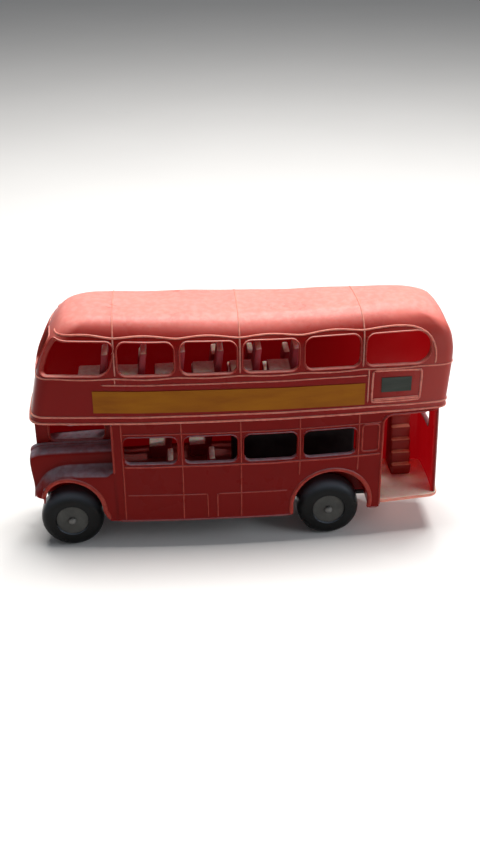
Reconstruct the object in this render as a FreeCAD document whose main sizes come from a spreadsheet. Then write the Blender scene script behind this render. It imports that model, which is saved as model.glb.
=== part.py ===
"""Moulded plastic toy: a half-cab double-decker bus with an open rear platform.

Millimetres. +X is forward, +Y is the nearside (the platform's side), +Z is up.
Z = 0 is the floor that the wheels stand on, and X = Y = 0 is the middle of the toy's box.
"""
import FreeCAD, Part
import math
import os
import re
from types import SimpleNamespace
from FreeCAD import Placement, Rotation, Vector

# ---------------------------------------------------------------- driving dimensions
# name, value, meaning
SIZES = (
    ("body_length", 170.0, "platform's rear edge to the radiator"),
    ("body_width", 42.0, "over the side walls, where they are widest"),
    ("roof_height", 102.3, "floor to the roof's crown"),
    ("deck_height", 59.2, "joint between the lower and the upper moulding"),
    ("skirt_height", 13.4, "lower edge of the skirts"),
    ("wall", 1.6, "thickness of every moulded wall"),
    ("floor_thick", 1.4, "thickness of both decks and of the base plate"),
    ("fit_gap", 0.15, "gap round a tray that drops into a moulding"),
    ("side_bow", 714.0, "radius of the side walls seen from above"),
    ("widest_place", 5.0, "place along X where the sides are widest"),
    ("end_bow", 2.2, "how far the front and rear faces bulge at the middle"),
    ("corner_radius", 6.0, "upright corners of both mouldings"),
    ("upper_rear_setback", 0.0, "upper moulding's rear face from the platform's edge"),
    ("upper_front_setback", 2.0, "upper moulding's lower front edge from the radiator"),
    ("front_rake", 9.0, "how far the upper front leans back by roof height"),
    ("dome_radius", 21.0, "rear top corner seen from the side"),
    ("brow_radius", 11.0, "front top corner seen from the side"),
    ("shoulder_radius", 9.5, "roof edge seen from behind"),
    ("roof_rise", 2.8, "crown of the roof above its edges"),
    ("lower_rear_setback", 3.4, "lower moulding's rear wall from the platform's edge"),
    ("cab_setback", 3.0, "cab front from the radiator"),
    ("lower_inset", 0.5, "lower moulding's sides inside the upper one's"),
    ("first_pillar", 47.2, "middle of the foremost pillar"),
    ("pillar_pitch", 24.15, "from pillar to pillar"),
    ("pillar_width", 3.5, "solid wall between two windows"),
    ("upper_sill", 81.4, "bottom of the upper windows"),
    ("upper_head", 94.5, "top of the upper windows"),
    ("lower_sill", 40.3, "bottom of the lower windows"),
    ("lower_head", 52.8, "top of the lower windows"),
    ("window_radius", 3.4, "corners of the windows"),
    ("end_window_radius", 6.2, "rear end of the rearmost upper window"),
    ("front_window_end", 72.6, "front edge of the foremost upper window"),
    ("rear_window_end", -76.6, "rear edge of the rearmost upper window"),
    ("rear_exit_width", 19.0, "emergency window in the upper rear face"),
    ("rear_exit_head", 90.5, "its top"),
    ("door_front", -59.0, "front edge of the doorway"),
    ("door_head", 57.4, "top of the doorway"),
    ("door_radius", 4.5, "rounded top corner of the doorway"),
    ("platform_top", 16.8, "standing surface of the rear platform"),
    ("platform_thick", 1.7, "thickness of the platform"),
    ("bulkhead_place", 50.6, "front face of the saloon's front wall"),
    ("cab_side", 4.6, "nearside wall of the cab"),
    ("bonnet_side", 11.0, "nearside flank of the bonnet"),
    ("bonnet_height", 43.0, "top of the bonnet"),
    ("bonnet_radius", 3.2, "rounded edges along the bonnet"),
    ("wing_height", 36.0, "top of the front wings"),
    ("wing_nose_radius", 13.0, "wing curving down at the front"),
    ("apron_height", 20.6, "lower edge of everything ahead of the front wheels"),
    ("cab_floor", 37.4, "floor of the driver's cab"),
    ("cab_sill", 40.0, "bottom of the cab's windows"),
    ("wheel_base", 107.0, "front axle to rear axle"),
    ("front_overhang", 16.0, "front axle to the radiator"),
    ("wheel_radius", 12.9, "tyre's outer radius"),
    ("wheel_width", 10.0, "over the tyre"),
    ("hub_radius", 6.6, "flat disc in the middle of a wheel"),
    ("hub_recess", 0.35, "disc below the tyre's bead"),
    ("wheel_inset", 4.0, "wheel's outer face inside the widest side wall"),
    ("axle_diameter", 3.0, "both axles"),
    ("axle_clearance", 0.08, "radial gap in the axle bearings"),
    ("axle_end", 1.1, "domed axle end standing out of the hub"),
    ("front_arch_radius", 16.8, "opening in the skirt round a front wheel"),
    ("front_arch_rise", 3.9, "its centre above the axle"),
    ("rear_arch_radius", 17.8, "opening in the skirt round a rear wheel"),
    ("rear_arch_rise", 4.6, "its centre above the axle"),
    ("lower_deck_height", 28.0, "top of the lower saloon's floor"),
    ("seat_width", 11.4, "a double seat across the bus"),
    ("seat_depth", 7.6, "cushion front to back"),
    ("back_thick", 1.7, "thickness of a seat back"),
    ("back_lean", 7.0, "seat back's lean in degrees"),
    ("upper_seat_pitch", 14.9, "from seat to seat on the upper deck"),
    ("upper_seat_place", 55.5, "foremost seat back on the upper deck"),
    ("upper_seat_height", 14.0, "its cushions above the floor"),
    ("upper_back_height", 30.0, "top of its seat backs above the floor"),
    ("lower_seat_pitch", 17.0, "from seat to seat on the lower deck"),
    ("lower_seat_place", 30.0, "foremost seat back on the lower deck"),
    ("lower_seat_height", 6.0, "its cushions above the floor"),
    ("lower_back_height", 24.0, "top of its seat backs above the floor"),
    ("stairwell_length", 19.0, "opening in the upper deck above the stairs"),
    ("step_count", 8.0, "steps of the staircase"),
    ("step_going", 1.7, "depth of one step"),
    ("stair_width", 8.5, "staircase along the bus"),
    ("stair_setback", 4.2, "rear wall to the staircase"),
    ("stair_foot", -1.0, "nose of the lowest step across the bus"),
    ("bearing_length", 7.0, "block under the base plate along the bus"),
    ("bearing_gap", 0.8, "bearing block to wheel"),
    ("motor_rear", -49.5, "rear face of the motor housing"),
    ("motor_front", 1.5, "front face of the motor housing"),
    ("motor_width", 12.4, "motor housing across the bus"),
    ("motor_height", 33.0, "motor housing above the base plate"),
    ("motor_slope", 5.5, "how far its rear face leans forward at the top"),
    ("label_thick", 0.12, "paper labels"),
    ("label_lift", 0.05, "glue under a label"),
    ("strip_front", 56.5, "front end of the long side label"),
    ("strip_rear", -50.6, "rear end of the long side label"),
    ("strip_low", 64.4, "lower edge of the long side label"),
    ("strip_high", 73.9, "upper edge of the long side label"),
    ("route_front", -57.2, "front end of the small side label"),
    ("route_rear", -69.5, "rear end of the small side label"),
    ("route_low", 67.9, "lower edge of the small side label"),
    ("route_high", 74.1, "upper edge of the small side label"),
)

doc = FreeCAD.newDocument("toy_bus")
sheet = doc.addObject("Spreadsheet::Sheet", "Sheet")
for row, (name, value, meaning) in enumerate(SIZES, start=1):
    sheet.set(f"A{row}", str(value))
    sheet.setAlias(f"A{row}", name)
    sheet.set(f"B{row}", meaning)
doc.recompute()
NAMES = {name for name, _, _ in SIZES}
dim = SimpleNamespace(**{name: float(getattr(sheet, name)) for name in NAMES})


# ---------------------------------------------------------------- building blocks
def bound(text):
    """An expression in which every name of the sheet is spelled as FreeCAD wants it."""
    return re.sub(r"[a-z_]+", lambda word: "Sheet." + word[0] if word[0] in NAMES else word[0], str(text))


def bind(obj, **expressions):
    """Bind properties of obj; Base_x stands for Placement.Base.x."""
    for prop, text in expressions.items():
        obj.setExpression(prop.replace("Base_", "Placement.Base."), bound(text))
    return obj


def box(name, x, y, z):
    """A box between pairs of expressions: x = (rear, front), y = (offside, nearside), z = (low, high)."""
    obj = doc.addObject("Part::Box", name)
    return bind(obj, Length=f"({x[1]}) - ({x[0]})", Width=f"({y[1]}) - ({y[0]})", Height=f"({z[1]}) - ({z[0]})",
                Base_x=x[0], Base_y=y[0], Base_z=z[0])


def cross_cylinder(name, radius, x, y, z):
    """A cylinder across the bus, from y[0] to y[1]."""
    obj = doc.addObject("Part::Cylinder", name)
    obj.Placement = Placement(Vector(), Rotation(Vector(1, 0, 0), -90))
    return bind(obj, Radius=radius, Height=f"({y[1]}) - ({y[0]})", Base_x=x, Base_y=y[0], Base_z=z)


def fuse(name, *pieces):
    obj = doc.addObject("Part::MultiFuse", name)
    obj.Shapes = list(pieces)
    obj.Refine = True
    return obj


def common(name, *pieces):
    obj = doc.addObject("Part::MultiCommon", name)
    obj.Shapes = list(pieces)
    return obj


def cut(name, base, *tools):
    obj = doc.addObject("Part::Cut", name)
    obj.Base = base
    obj.Tool = tools[0] if len(tools) == 1 else fuse(name + "_tools", *tools)
    return obj


def rounded(obj, radius, axis, wanted=lambda centre: True):
    """Fillet the edges of obj that run along axis and whose middle is wanted."""
    doc.recompute()
    edges = []
    for number, edge in enumerate(obj.Shape.Edges, start=1):
        along = edge.tangentAt(edge.FirstParameter)
        if abs(along.dot(axis)) > 0.999 and wanted(edge.CenterOfMass):
            edges.append((number, radius, radius))
    fillet = doc.addObject("Part::Fillet", obj.Name + "_round")
    fillet.Base = obj
    fillet.Edges = edges
    return fillet


def feature(name, shape):
    obj = doc.addObject("Part::Feature", name)
    obj.Shape = shape
    return obj


ALONG = Vector(1, 0, 0)
ACROSS = Vector(0, 1, 0)
UPWARD = Vector(0, 0, 1)

# Places that follow from the driving dimensions, as numbers for the curved shells.
FRONT = dim.body_length / 2
REAR = -dim.body_length / 2
HALF = dim.body_width / 2
# ... and as expressions for everything that is bound to the sheet.
FRONT_AXLE = "(body_length / 2 - front_overhang)"
REAR_AXLE = "(body_length / 2 - front_overhang - wheel_base)"
WHEEL_OUTER = "(body_width / 2 - wheel_inset)"
WHEEL_INNER = "(body_width / 2 - wheel_inset - wheel_width)"
OUTSIDE = "(body_width / 2 + 5)"


# ---------------------------------------------------------------- curved envelopes
def side_place(x, inset):
    """Half width at x: the side walls are slack arcs that draw in towards both ends."""
    return HALF - inset - (x - dim.widest_place) ** 2 / (2 * dim.side_bow)


def plan_solid(inset, rear, front, low, high):
    """Bowed sides and ends seen from above, with rounded corners, from low to high."""
    bow = dim.end_bow
    nearside = Part.Arc(Vector(rear + bow, side_place(rear, inset), low),
                        Vector(dim.widest_place, side_place(dim.widest_place, inset), low),
                        Vector(front - bow, side_place(front, inset), low))
    offside = Part.Arc(Vector(front - bow, -side_place(front, inset), low),
                       Vector(dim.widest_place, -side_place(dim.widest_place, inset), low),
                       Vector(rear + bow, -side_place(rear, inset), low))
    front_face = Part.Arc(nearside.EndPoint, Vector(front, 0, low), offside.StartPoint)
    rear_face = Part.Arc(offside.EndPoint, Vector(rear, 0, low), nearside.StartPoint)
    wire = Part.Wire([arc.toShape() for arc in (nearside, front_face, offside, rear_face)])
    solid = Part.Face(wire).extrude(Vector(0, 0, high - low))
    upright = [edge for edge in solid.Edges if abs(edge.tangentAt(edge.FirstParameter).z) > 0.999]
    return solid.makeFillet(dim.corner_radius - inset, upright)


def upper_envelope(inset, low):
    """The upper moulding's outside, or its inside when inset by the wall."""
    top = dim.roof_height - inset
    rear = REAR + dim.upper_rear_setback + inset
    front = FRONT - dim.upper_front_setback - inset
    rake = dim.front_rake / (dim.roof_height - dim.deck_height)
    # seen from the side: upright tail with a dome, roof, brow, raked front
    corners = [Vector(rear, -HALF, low), Vector(rear, -HALF, top),
               Vector(front - rake * (top - dim.deck_height), -HALF, top),
               Vector(front + rake * (dim.deck_height - low), -HALF, low)]
    side_view = Part.Face(Part.makePolygon(corners + corners[:1])).extrude(Vector(0, 2 * HALF, 0))
    tops = [edge for edge in side_view.Edges
            if abs(edge.tangentAt(edge.FirstParameter).y) > 0.999 and edge.CenterOfMass.z > top - 0.01]
    tail, brow = sorted(tops, key=lambda edge: edge.CenterOfMass.x)
    side_view = side_view.makeFillet(dim.dome_radius - inset, [tail])
    brow = min((edge for edge in side_view.Edges
                if abs(edge.tangentAt(edge.FirstParameter).y) > 0.999 and edge.CenterOfMass.x > 0),
               key=lambda edge: top - edge.CenterOfMass.z)
    side_view = side_view.makeFillet(dim.brow_radius - inset, [brow])
    # seen from behind: upright sides, round shoulders, crowned roof
    half, eaves = HALF - inset, top - dim.roof_rise
    crown = Part.Arc(Vector(rear, half, eaves), Vector(rear, 0, top), Vector(rear, -half, eaves)).toShape()
    sides = Part.makePolygon([Vector(rear, -half, eaves), Vector(rear, -half, low),
                              Vector(rear, half, low), Vector(rear, half, eaves)])
    end_view = Part.Face(Part.Wire([crown] + sides.Edges)).extrude(Vector(front - rear + 8, 0, 0))
    shoulders = [edge for edge in end_view.Edges
                 if abs(edge.tangentAt(edge.FirstParameter).x) > 0.999 and abs(edge.CenterOfMass.z - eaves) < 0.01]
    end_view = end_view.makeFillet(dim.shoulder_radius - inset, shoulders)
    plan = plan_solid(inset, rear, front + 2 * rake, low, top)
    return plan.common(side_view).common(end_view)


def lower_plan(inset, low, high, rear=REAR + dim.lower_rear_setback, front=FRONT - dim.cab_setback):
    """A slice of the lower moulding's outline, inset from its outside."""
    return plan_solid(dim.lower_inset + inset, rear + inset, front - inset, low, high)


# ---------------------------------------------------------------- windows
def window(name, x, z, y=(f"-{OUTSIDE}", OUTSIDE), radius=dim.window_radius, rear_radius=None):
    """A rounded opening through the sides; rear_radius sets its rear corners apart."""
    block = box(name, x, y, z)
    doc.recompute()
    middle = block.Shape.CenterOfMass.x
    if rear_radius is None:
        return rounded(block, radius, ACROSS)
    block = rounded(block, radius, ACROSS, lambda centre: centre.x > middle)
    return rounded(block, rear_radius, ACROSS, lambda centre: centre.x < middle - 1)


def bay(number):
    """Rear and front edge of the opening behind pillar `number`, as expressions."""
    return (f"first_pillar - {number + 1} * pillar_pitch + pillar_width / 2",
            f"first_pillar - {number} * pillar_pitch - pillar_width / 2")


def end_window(name, x, y, z):
    """A rounded opening through a front or rear face."""
    return rounded(box(name, x, y, z), dim.window_radius * 0.8, ALONG)


# ---------------------------------------------------------------- upper moulding
def upper_body():
    outside = feature("upper_outside", upper_envelope(0, dim.deck_height))
    inside = feature("upper_inside", upper_envelope(dim.wall, dim.deck_height - 1))
    height = ("upper_sill", "upper_head")
    openings = [window(f"upper_window_{n}", bay(n), height) for n in range(4)]
    openings.append(window("upper_window_rear", ("rear_window_end", bay(4)[1]), height,
                           rear_radius=dim.end_window_radius))
    openings.append(window("upper_window_front", ("first_pillar + pillar_width / 2", "front_window_end"), height))
    for side, y in (("nearside", ("1.2", "body_width / 2 - 5")), ("offside", ("5 - body_width / 2", "-1.2"))):
        openings.append(end_window(f"{side}_front_window", ("body_length / 4", "body_length"), y,
                                   ("upper_sill", "upper_head - 1")))
    openings.append(end_window("rear_exit_window", ("-body_length", "-body_length / 4"),
                               ("-rear_exit_width / 2", "rear_exit_width / 2"), ("upper_sill", "rear_exit_head")))
    return cut("upper_body", outside, inside, *openings)


# ---------------------------------------------------------------- lower moulding
def lower_body():
    skirt, deck = dim.skirt_height, dim.deck_height
    outline = feature("lower_outside", lower_plan(0, skirt, deck))
    saloon_space = common("saloon_space", feature("lower_inside", lower_plan(dim.wall, skirt - 1, deck + 1)),
                          box("saloon_reach", ("-body_length", "bulkhead_place - wall"),
                              (f"-{OUTSIDE}", OUTSIDE), ("skirt_height - 1", "deck_height + 1")))
    # nearside front quarter: nothing stands above the wing and the bonnet
    open_quarter = box("open_quarter", ("bulkhead_place", "body_length"), ("cab_side", OUTSIDE),
                       ("wing_height", "deck_height + 1"))
    # the bonnet runs forward beside the cab and ends in the radiator
    bonnet = rounded(box("bonnet_block", ("bulkhead_place - wall", "body_length / 2"), ("-cab_side", "bonnet_side"),
                         ("apron_height", "bonnet_height")), dim.bonnet_radius, ALONG,
                     lambda centre: centre.z > dim.bonnet_height - 1 and centre.y > 0)
    wing = rounded(box("wing_block", ("bulkhead_place - wall", "body_length / 2 - 1"),
                       ("cab_side", "body_width / 2 - 2.4"), ("apron_height - 1", "wing_height")),
                   dim.wing_nose_radius, ACROSS, lambda centre: centre.z > 30 and centre.x > 70)
    wing_nose = box("wing_nose", ("body_length / 2 - cab_setback - wing_nose_radius", "body_length"),
                    ("bonnet_side", OUTSIDE), ("apron_height - 1", "deck_height"))
    body = cut("lower_walls", outline, saloon_space, open_quarter, wing_nose)
    body = fuse("lower_shell", body, bonnet, wing)
    cuts = [
        box("below_apron", (FRONT_AXLE, "body_length"), (f"-{OUTSIDE}", OUTSIDE), ("0", "apron_height")),
        box("cab_space", ("bulkhead_place", "body_length / 2 - cab_setback - wall"),
            ("wall + lower_inset - body_width / 2 + 2", "cab_side - wall"), ("cab_floor", "deck_height + 1")),
        box("engine_space", ("bulkhead_place", "body_length / 2 - cab_setback - wall"),
            (f"-{WHEEL_INNER} + 0.5", f"{WHEEL_INNER} - 0.5"), ("0", "wing_height - wall")),
        box("spine_notch", ("bulkhead_place - 2 * wall", "bulkhead_place + wall"),
            (f"-{WHEEL_INNER} + 0.5", f"{WHEEL_INNER} - 0.5"), ("0", "skirt_height + floor_thick + fit_gap")),
        window("cab_side_window", ("bulkhead_place + 4", "body_length / 2 - cab_setback - 5"),
               ("cab_sill", "lower_head + 1"), y=(f"-{OUTSIDE}", "-body_width / 4")),
        window("cab_inner_window", ("bulkhead_place + 2.5", "body_length / 2 - cab_setback - 4"),
               ("bonnet_height + 1", "deck_height - 3"), y=("0", "cab_side + 1")),
        end_window("windscreen", ("body_length / 2 - 12", "body_length"),
                   ("4.5 - body_width / 2", "cab_side - 2.4"), ("cab_sill", "lower_head + 1")),
        end_window("bulkhead_window", ("bulkhead_place - 4", "bulkhead_place + 2"),
                   ("cab_side + 2.4", "body_width / 2 - 5"), ("bonnet_height + 1", "deck_height - 3")),
    ]
    for end, axle in (("front", FRONT_AXLE), ("rear", REAR_AXLE)):
        cuts.append(cross_cylinder(f"{end}_arch_nearside", f"{end}_arch_radius", axle,
                                   (f"{WHEEL_INNER} - 0.5", OUTSIDE), f"wheel_radius + {end}_arch_rise"))
        cuts.append(cross_cylinder(f"{end}_arch_offside", f"{end}_arch_radius", axle,
                                   (f"-{OUTSIDE}", f"0.5 - {WHEEL_INNER}"), f"wheel_radius + {end}_arch_rise"))
    cuts += [window(f"lower_window_{n}", bay(n), ("lower_sill", "lower_head")) for n in range(4)]
    cuts.append(window("offside_rear_window", ("door_front - 13", "door_front - 1"), ("lower_sill", "lower_head"),
                       y=(f"-{OUTSIDE}", "0")))
    cuts.append(end_window("rear_wall_window", ("-body_length", "-body_length / 4"),
                           ("5 - body_width / 2", "body_width / 4"), ("lower_sill", "lower_head + 1")))
    cuts.append(box("platform_seat", ("-body_length", "door_front"), (f"-{OUTSIDE}", OUTSIDE), ("0", "platform_top")))
    doorway = rounded(box("doorway_block", ("-body_length / 2 + lower_rear_setback + wall + 1.4", "door_front"),
                          ("body_width / 4", OUTSIDE), ("0", "door_head")), dim.door_radius, ACROSS,
                      lambda centre: centre.z > 50 and centre.x > dim.door_front - 2)
    cuts.append(doorway)
    return cut("lower_body", body, *cuts)


def rear_platform():
    slice_ = feature("platform_outline", lower_plan(0, dim.platform_top - dim.platform_thick, dim.platform_top,
                                                    rear=REAR))
    reach = box("platform_reach", ("-body_length", "door_front"), (f"-{OUTSIDE}", OUTSIDE), ("0", "deck_height"))
    return common("rear_platform", slice_, reach)


# ---------------------------------------------------------------- decks and seats
def seats(deck, floor, rows):
    """Pairs of double seats; a row's table entry says which sides have one."""
    pieces = []
    for row, sides in enumerate(rows):
        for side in sides:
            y = ("body_width / 2 - wall - lower_inset - 2.4 - seat_width", "body_width / 2 - wall - lower_inset - 2.4")
            if side == "offside":
                y = (f"-({y[1]})", f"-({y[0]})")
            back_x = f"{deck}_seat_place - {row} * {deck}_seat_pitch"
            pieces.append(box(f"{deck}_{side}_cushion_{row}", (f"{back_x} - back_thick", f"{back_x} + seat_depth"), y,
                              (floor, f"{floor} + {deck}_seat_height")))
            back = box(f"{deck}_{side}_back_{row}", (f"{back_x} - back_thick", back_x), y,
                       (f"{floor} - 0.2", f"{floor} + {deck}_back_height"))
            back.Placement = Placement(back.Placement.Base, Rotation(ACROSS, -dim.back_lean))
            pieces.append(back)
    return pieces


def upper_deck():
    outline = plan_solid(dim.wall + dim.fit_gap, REAR + dim.upper_rear_setback + dim.wall,
                         FRONT - dim.upper_front_setback - dim.wall - 0.5, dim.deck_height,
                         dim.deck_height + dim.floor_thick)
    stairwell = box("stairwell", ("-body_length / 2 + lower_rear_setback + 3",
                                  "-body_length / 2 + lower_rear_setback + 3 + stairwell_length"),
                    ("-body_width / 2 + 4", "stair_foot"), ("deck_height - 1", "deck_height + 10"))
    floor = cut("upper_floor", feature("upper_floor_outline", outline), stairwell)
    rows = [("nearside", "offside")] * 6
    return fuse("upper_deck", floor, *seats("upper", "deck_height + floor_thick", rows))


def lower_deck():
    low = dim.lower_deck_height - dim.floor_thick
    slice_ = feature("lower_floor_outline", lower_plan(dim.wall + dim.fit_gap, low, dim.lower_deck_height))
    reach = box("lower_floor_reach", ("door_front + wall", "bulkhead_place - wall - fit_gap"),
                (f"-{OUTSIDE}", OUTSIDE), ("0", "deck_height"))
    motor_hole = box("motor_hole", ("motor_rear - fit_gap", "motor_front + fit_gap"),
                     ("-motor_width / 2 - fit_gap", "motor_width / 2 + fit_gap"), ("0", "deck_height"))
    floor = common("lower_floor", slice_, reach)
    rows = [("nearside", "offside")] * 2
    return cut("lower_deck", fuse("lower_tray", floor, *seats("lower", "lower_deck_height", rows)),
               motor_hole)


def staircase():
    """Steps that climb from the platform towards the offside wall, moulded as one block."""
    rear = "-body_length / 2 + lower_rear_setback + wall + stair_setback"
    rise = "(deck_height - platform_top) / step_count"
    steps = []
    for number in range(int(dim.step_count)):
        nose = f"stair_foot - {number} * step_going"
        steps.append(box(f"step_{number}", (rear, f"{rear} + stair_width"), (f"{nose} - step_going", nose),
                         ("platform_top", f"platform_top + {number + 1} * {rise}")))
    inside = feature("stair_outline", lower_plan(dim.wall + dim.fit_gap, dim.platform_top, dim.deck_height))
    return common("staircase", inside, fuse("stair_steps", *steps))


# ---------------------------------------------------------------- running gear
def base_plate():
    top = dim.skirt_height + dim.floor_thick
    slice_ = feature("base_outline", lower_plan(dim.wall + dim.fit_gap, dim.skirt_height, top))
    middle = box("base_middle", (f"{REAR_AXLE} + rear_arch_radius + 1", "bulkhead_place - wall - fit_gap"),
                 (f"-{OUTSIDE}", OUTSIDE), ("0", "deck_height"))
    spine = box("base_spine", ("door_front + fit_gap", f"{FRONT_AXLE} + bearing_length"),
                (f"bearing_gap - {WHEEL_INNER}", f"{WHEEL_INNER} - bearing_gap"), ("0", "deck_height"))
    plate = common("base_plate_blank", slice_, fuse("base_reach", middle, spine))
    pieces, bores = [plate], []
    for end, axle in (("front", FRONT_AXLE), ("rear", REAR_AXLE)):
        pieces.append(box(f"{end}_bearing", (f"{axle} - bearing_length / 2", f"{axle} + bearing_length / 2"),
                          (f"bearing_gap - {WHEEL_INNER}", f"{WHEEL_INNER} - bearing_gap"),
                          ("wheel_radius - axle_diameter", "skirt_height + floor_thick")))
        bores.append(cross_cylinder(f"{end}_bore", "axle_diameter / 2 + axle_clearance", axle,
                                    (f"-{OUTSIDE}", OUTSIDE), "wheel_radius"))
    return cut("base_plate", fuse("base_blank", *pieces), *bores)


def motor_housing():
    """Closed block of the push-and-go motor; its rear face leans forward."""
    wedge = doc.addObject("Part::Wedge", "motor_housing")
    for prop, text in (("Xmin", "motor_rear"), ("Xmax", "motor_front"), ("X2min", "motor_rear"),
                       ("X2max", "motor_front"), ("Ymin", "0"), ("Ymax", "motor_height"),
                       ("Zmin", "-motor_width / 2"), ("Zmax", "motor_width / 2"),
                       ("Z2min", "-motor_width / 2"), ("Z2max", "motor_width / 2")):
        wedge.setExpression(prop, bound(text))
    wedge.setExpression("X2min", bound("motor_rear + motor_slope"))
    wedge.Placement = Placement(Vector(), Rotation(ALONG, 90))
    wedge.setExpression("Placement.Base.z", bound("skirt_height + floor_thick"))
    return wedge


def axle(name, x):
    """A rod with domed ends that stand a little out of the hubs."""
    reach = f"({WHEEL_OUTER} - hub_recess + axle_end - axle_diameter / 4)"
    rod = cross_cylinder(name + "_rod", "axle_diameter / 2", x, (f"-{reach}", reach), "wheel_radius")
    domes = []
    for side, sign in (("nearside", ""), ("offside", "-")):
        dome = doc.addObject("Part::Ellipsoid", f"{name}_{side}_dome")
        bind(dome, Radius1="axle_diameter / 4", Radius2="axle_diameter / 2", Radius3="axle_diameter / 2")
        dome.Placement = Placement(Vector(), Rotation(ALONG, 90))
        domes.append(bind(dome, Base_x=x, Base_y=f"{sign}{reach}", Base_z="wheel_radius"))
    return fuse(name, rod, *domes)


def wheel(name, x, side):
    """One-piece moulded wheel: round-shouldered tyre, flat hub disc, bore pressed on the axle."""
    half, tyre, hub = dim.wheel_width / 2, dim.wheel_radius, dim.hub_radius
    bore, tread = dim.axle_diameter / 2, dim.wheel_width * 0.14
    bulge = hub + (tyre - hub) * 0.72
    outer = [Part.makeLine(Vector(bore, half - dim.hub_recess, 0), Vector(hub, half - dim.hub_recess, 0)),
             Part.makeLine(Vector(hub, half - dim.hub_recess, 0), Vector(hub + dim.hub_recess, half, 0)),
             Part.Arc(Vector(hub + dim.hub_recess, half, 0), Vector(bulge, half * 0.8, 0),
                      Vector(tyre, tread, 0)).toShape(),
             Part.makeLine(Vector(tyre, tread, 0), Vector(tyre, 0, 0)),
             Part.makeLine(Vector(tyre, 0, 0), Vector(bore, 0, 0)),
             Part.makeLine(Vector(bore, 0, 0), Vector(bore, half - dim.hub_recess, 0))]
    half_wheel = Part.Face(Part.Wire(outer)).revolve(Vector(), ACROSS, 360)
    shape = half_wheel.fuse(half_wheel.mirror(Vector(), ACROSS)).removeSplitter()
    obj = feature(name, shape)
    sign = "" if side == "nearside" else "-"
    return bind(obj, Base_x=x, Base_y=f"{sign}({WHEEL_OUTER} - wheel_width / 2)", Base_z="wheel_radius")


# ---------------------------------------------------------------- paper labels
def side_label(name, side, x, z):
    """A thin label that lies on the bowed upper side."""
    def sleeve(offset):
        return plan_solid(offset, REAR + dim.upper_rear_setback + offset,
                          FRONT - dim.upper_front_setback - offset, dim.deck_height, dim.upper_sill)
    skin = cut(name + "_skin", feature(name + "_outside", sleeve(-dim.label_lift - dim.label_thick)),
               feature(name + "_inside", sleeve(-dim.label_lift)))
    y = ("0", OUTSIDE) if side == "nearside" else (f"-{OUTSIDE}", "0")
    return common(name, skin, box(name + "_reach", x, y, z))


# ---------------------------------------------------------------- assembly
def main():
    parts = [upper_body(), lower_body(), rear_platform(), upper_deck(), lower_deck(), staircase(),
             base_plate(), motor_housing()]
    for end, place in (("front", FRONT_AXLE), ("rear", REAR_AXLE)):
        parts.append(axle(f"{end}_axle", place))
        parts += [wheel(f"{end}_{side}_wheel", place, side) for side in ("nearside", "offside")]
    for side in ("nearside", "offside"):
        parts.append(side_label(f"{side}_strip_label", side, ("strip_rear", "strip_front"),
                                ("strip_low", "strip_high")))
        parts.append(side_label(f"{side}_route_label", side, ("route_rear", "route_front"),
                                ("route_low", "route_high")))
    doc.recompute()
    for obj in doc.Objects:
        if {"Invalid", "Error"} & set(obj.State):
            raise RuntimeError(f"{obj.Name} failed: {obj.State}")
    os.makedirs("parts", exist_ok=True)
    for obj in parts:
        obj.Label = obj.Name
        if obj.Shape.isNull() or not obj.Shape.isValid():
            raise RuntimeError(f"{obj.Label} has no valid shape")
    for obj in parts:
        obj.Shape.exportStep(os.path.join("parts", obj.Label + ".step"))
        bounds = obj.Shape.BoundBox
        print(f"{obj.Label:24s} solids {len(obj.Shape.Solids)} volume {obj.Shape.Volume:9.1f} "
              f"x {bounds.XMin:7.2f} {bounds.XMax:7.2f} y {bounds.YMin:7.2f} {bounds.YMax:7.2f} "
              f"z {bounds.ZMin:7.2f} {bounds.ZMax:7.2f}")


main()
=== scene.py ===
# %% [markdown]
# # A moulded toy double-decker bus
# The real toy is two thin red shells, an upper and a lower one, with two trays of seats dropped in, a
# block of stairs, a motor block and four black wheels. The shells are what people see, so nearly all the
# work goes into their curved walls, window rims and raised lines. Shapes are worked out in millimetres: x
# runs forward from the bus's middle, y towards the nearside, and z up from the ground.

# %% Load the frame
import bpy
import bmesh
import math
import numpy as np
from mathutils import Matrix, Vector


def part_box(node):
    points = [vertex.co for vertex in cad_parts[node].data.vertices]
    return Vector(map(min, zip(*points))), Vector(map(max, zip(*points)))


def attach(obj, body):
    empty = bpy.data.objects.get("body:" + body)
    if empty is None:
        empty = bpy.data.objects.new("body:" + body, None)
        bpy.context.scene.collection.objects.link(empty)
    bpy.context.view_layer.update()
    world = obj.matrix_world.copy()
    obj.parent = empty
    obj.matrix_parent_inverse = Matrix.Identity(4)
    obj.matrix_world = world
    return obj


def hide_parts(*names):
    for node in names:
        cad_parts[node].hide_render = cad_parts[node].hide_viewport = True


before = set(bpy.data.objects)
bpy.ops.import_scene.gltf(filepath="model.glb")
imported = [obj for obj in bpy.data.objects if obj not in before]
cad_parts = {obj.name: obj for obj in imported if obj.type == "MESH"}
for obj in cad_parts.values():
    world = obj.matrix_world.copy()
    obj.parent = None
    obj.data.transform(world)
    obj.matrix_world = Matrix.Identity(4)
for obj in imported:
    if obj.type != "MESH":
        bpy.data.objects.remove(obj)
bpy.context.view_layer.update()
MM = 0.001

# %% [markdown]
# ## Camera
# A toy is looked down on, from a little above its nearside. The camera is turned by given
# directions rather than by a Track To constraint, because its small roll is then one plain angle.

# %% Camera
def turned_to(place, right, up, back):
    """The matrix of something at place whose own x, y and z axes point right, up and back."""
    return Matrix.Translation(place) @ Matrix(np.column_stack([right, up, back]).tolist()).to_4x4()


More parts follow.
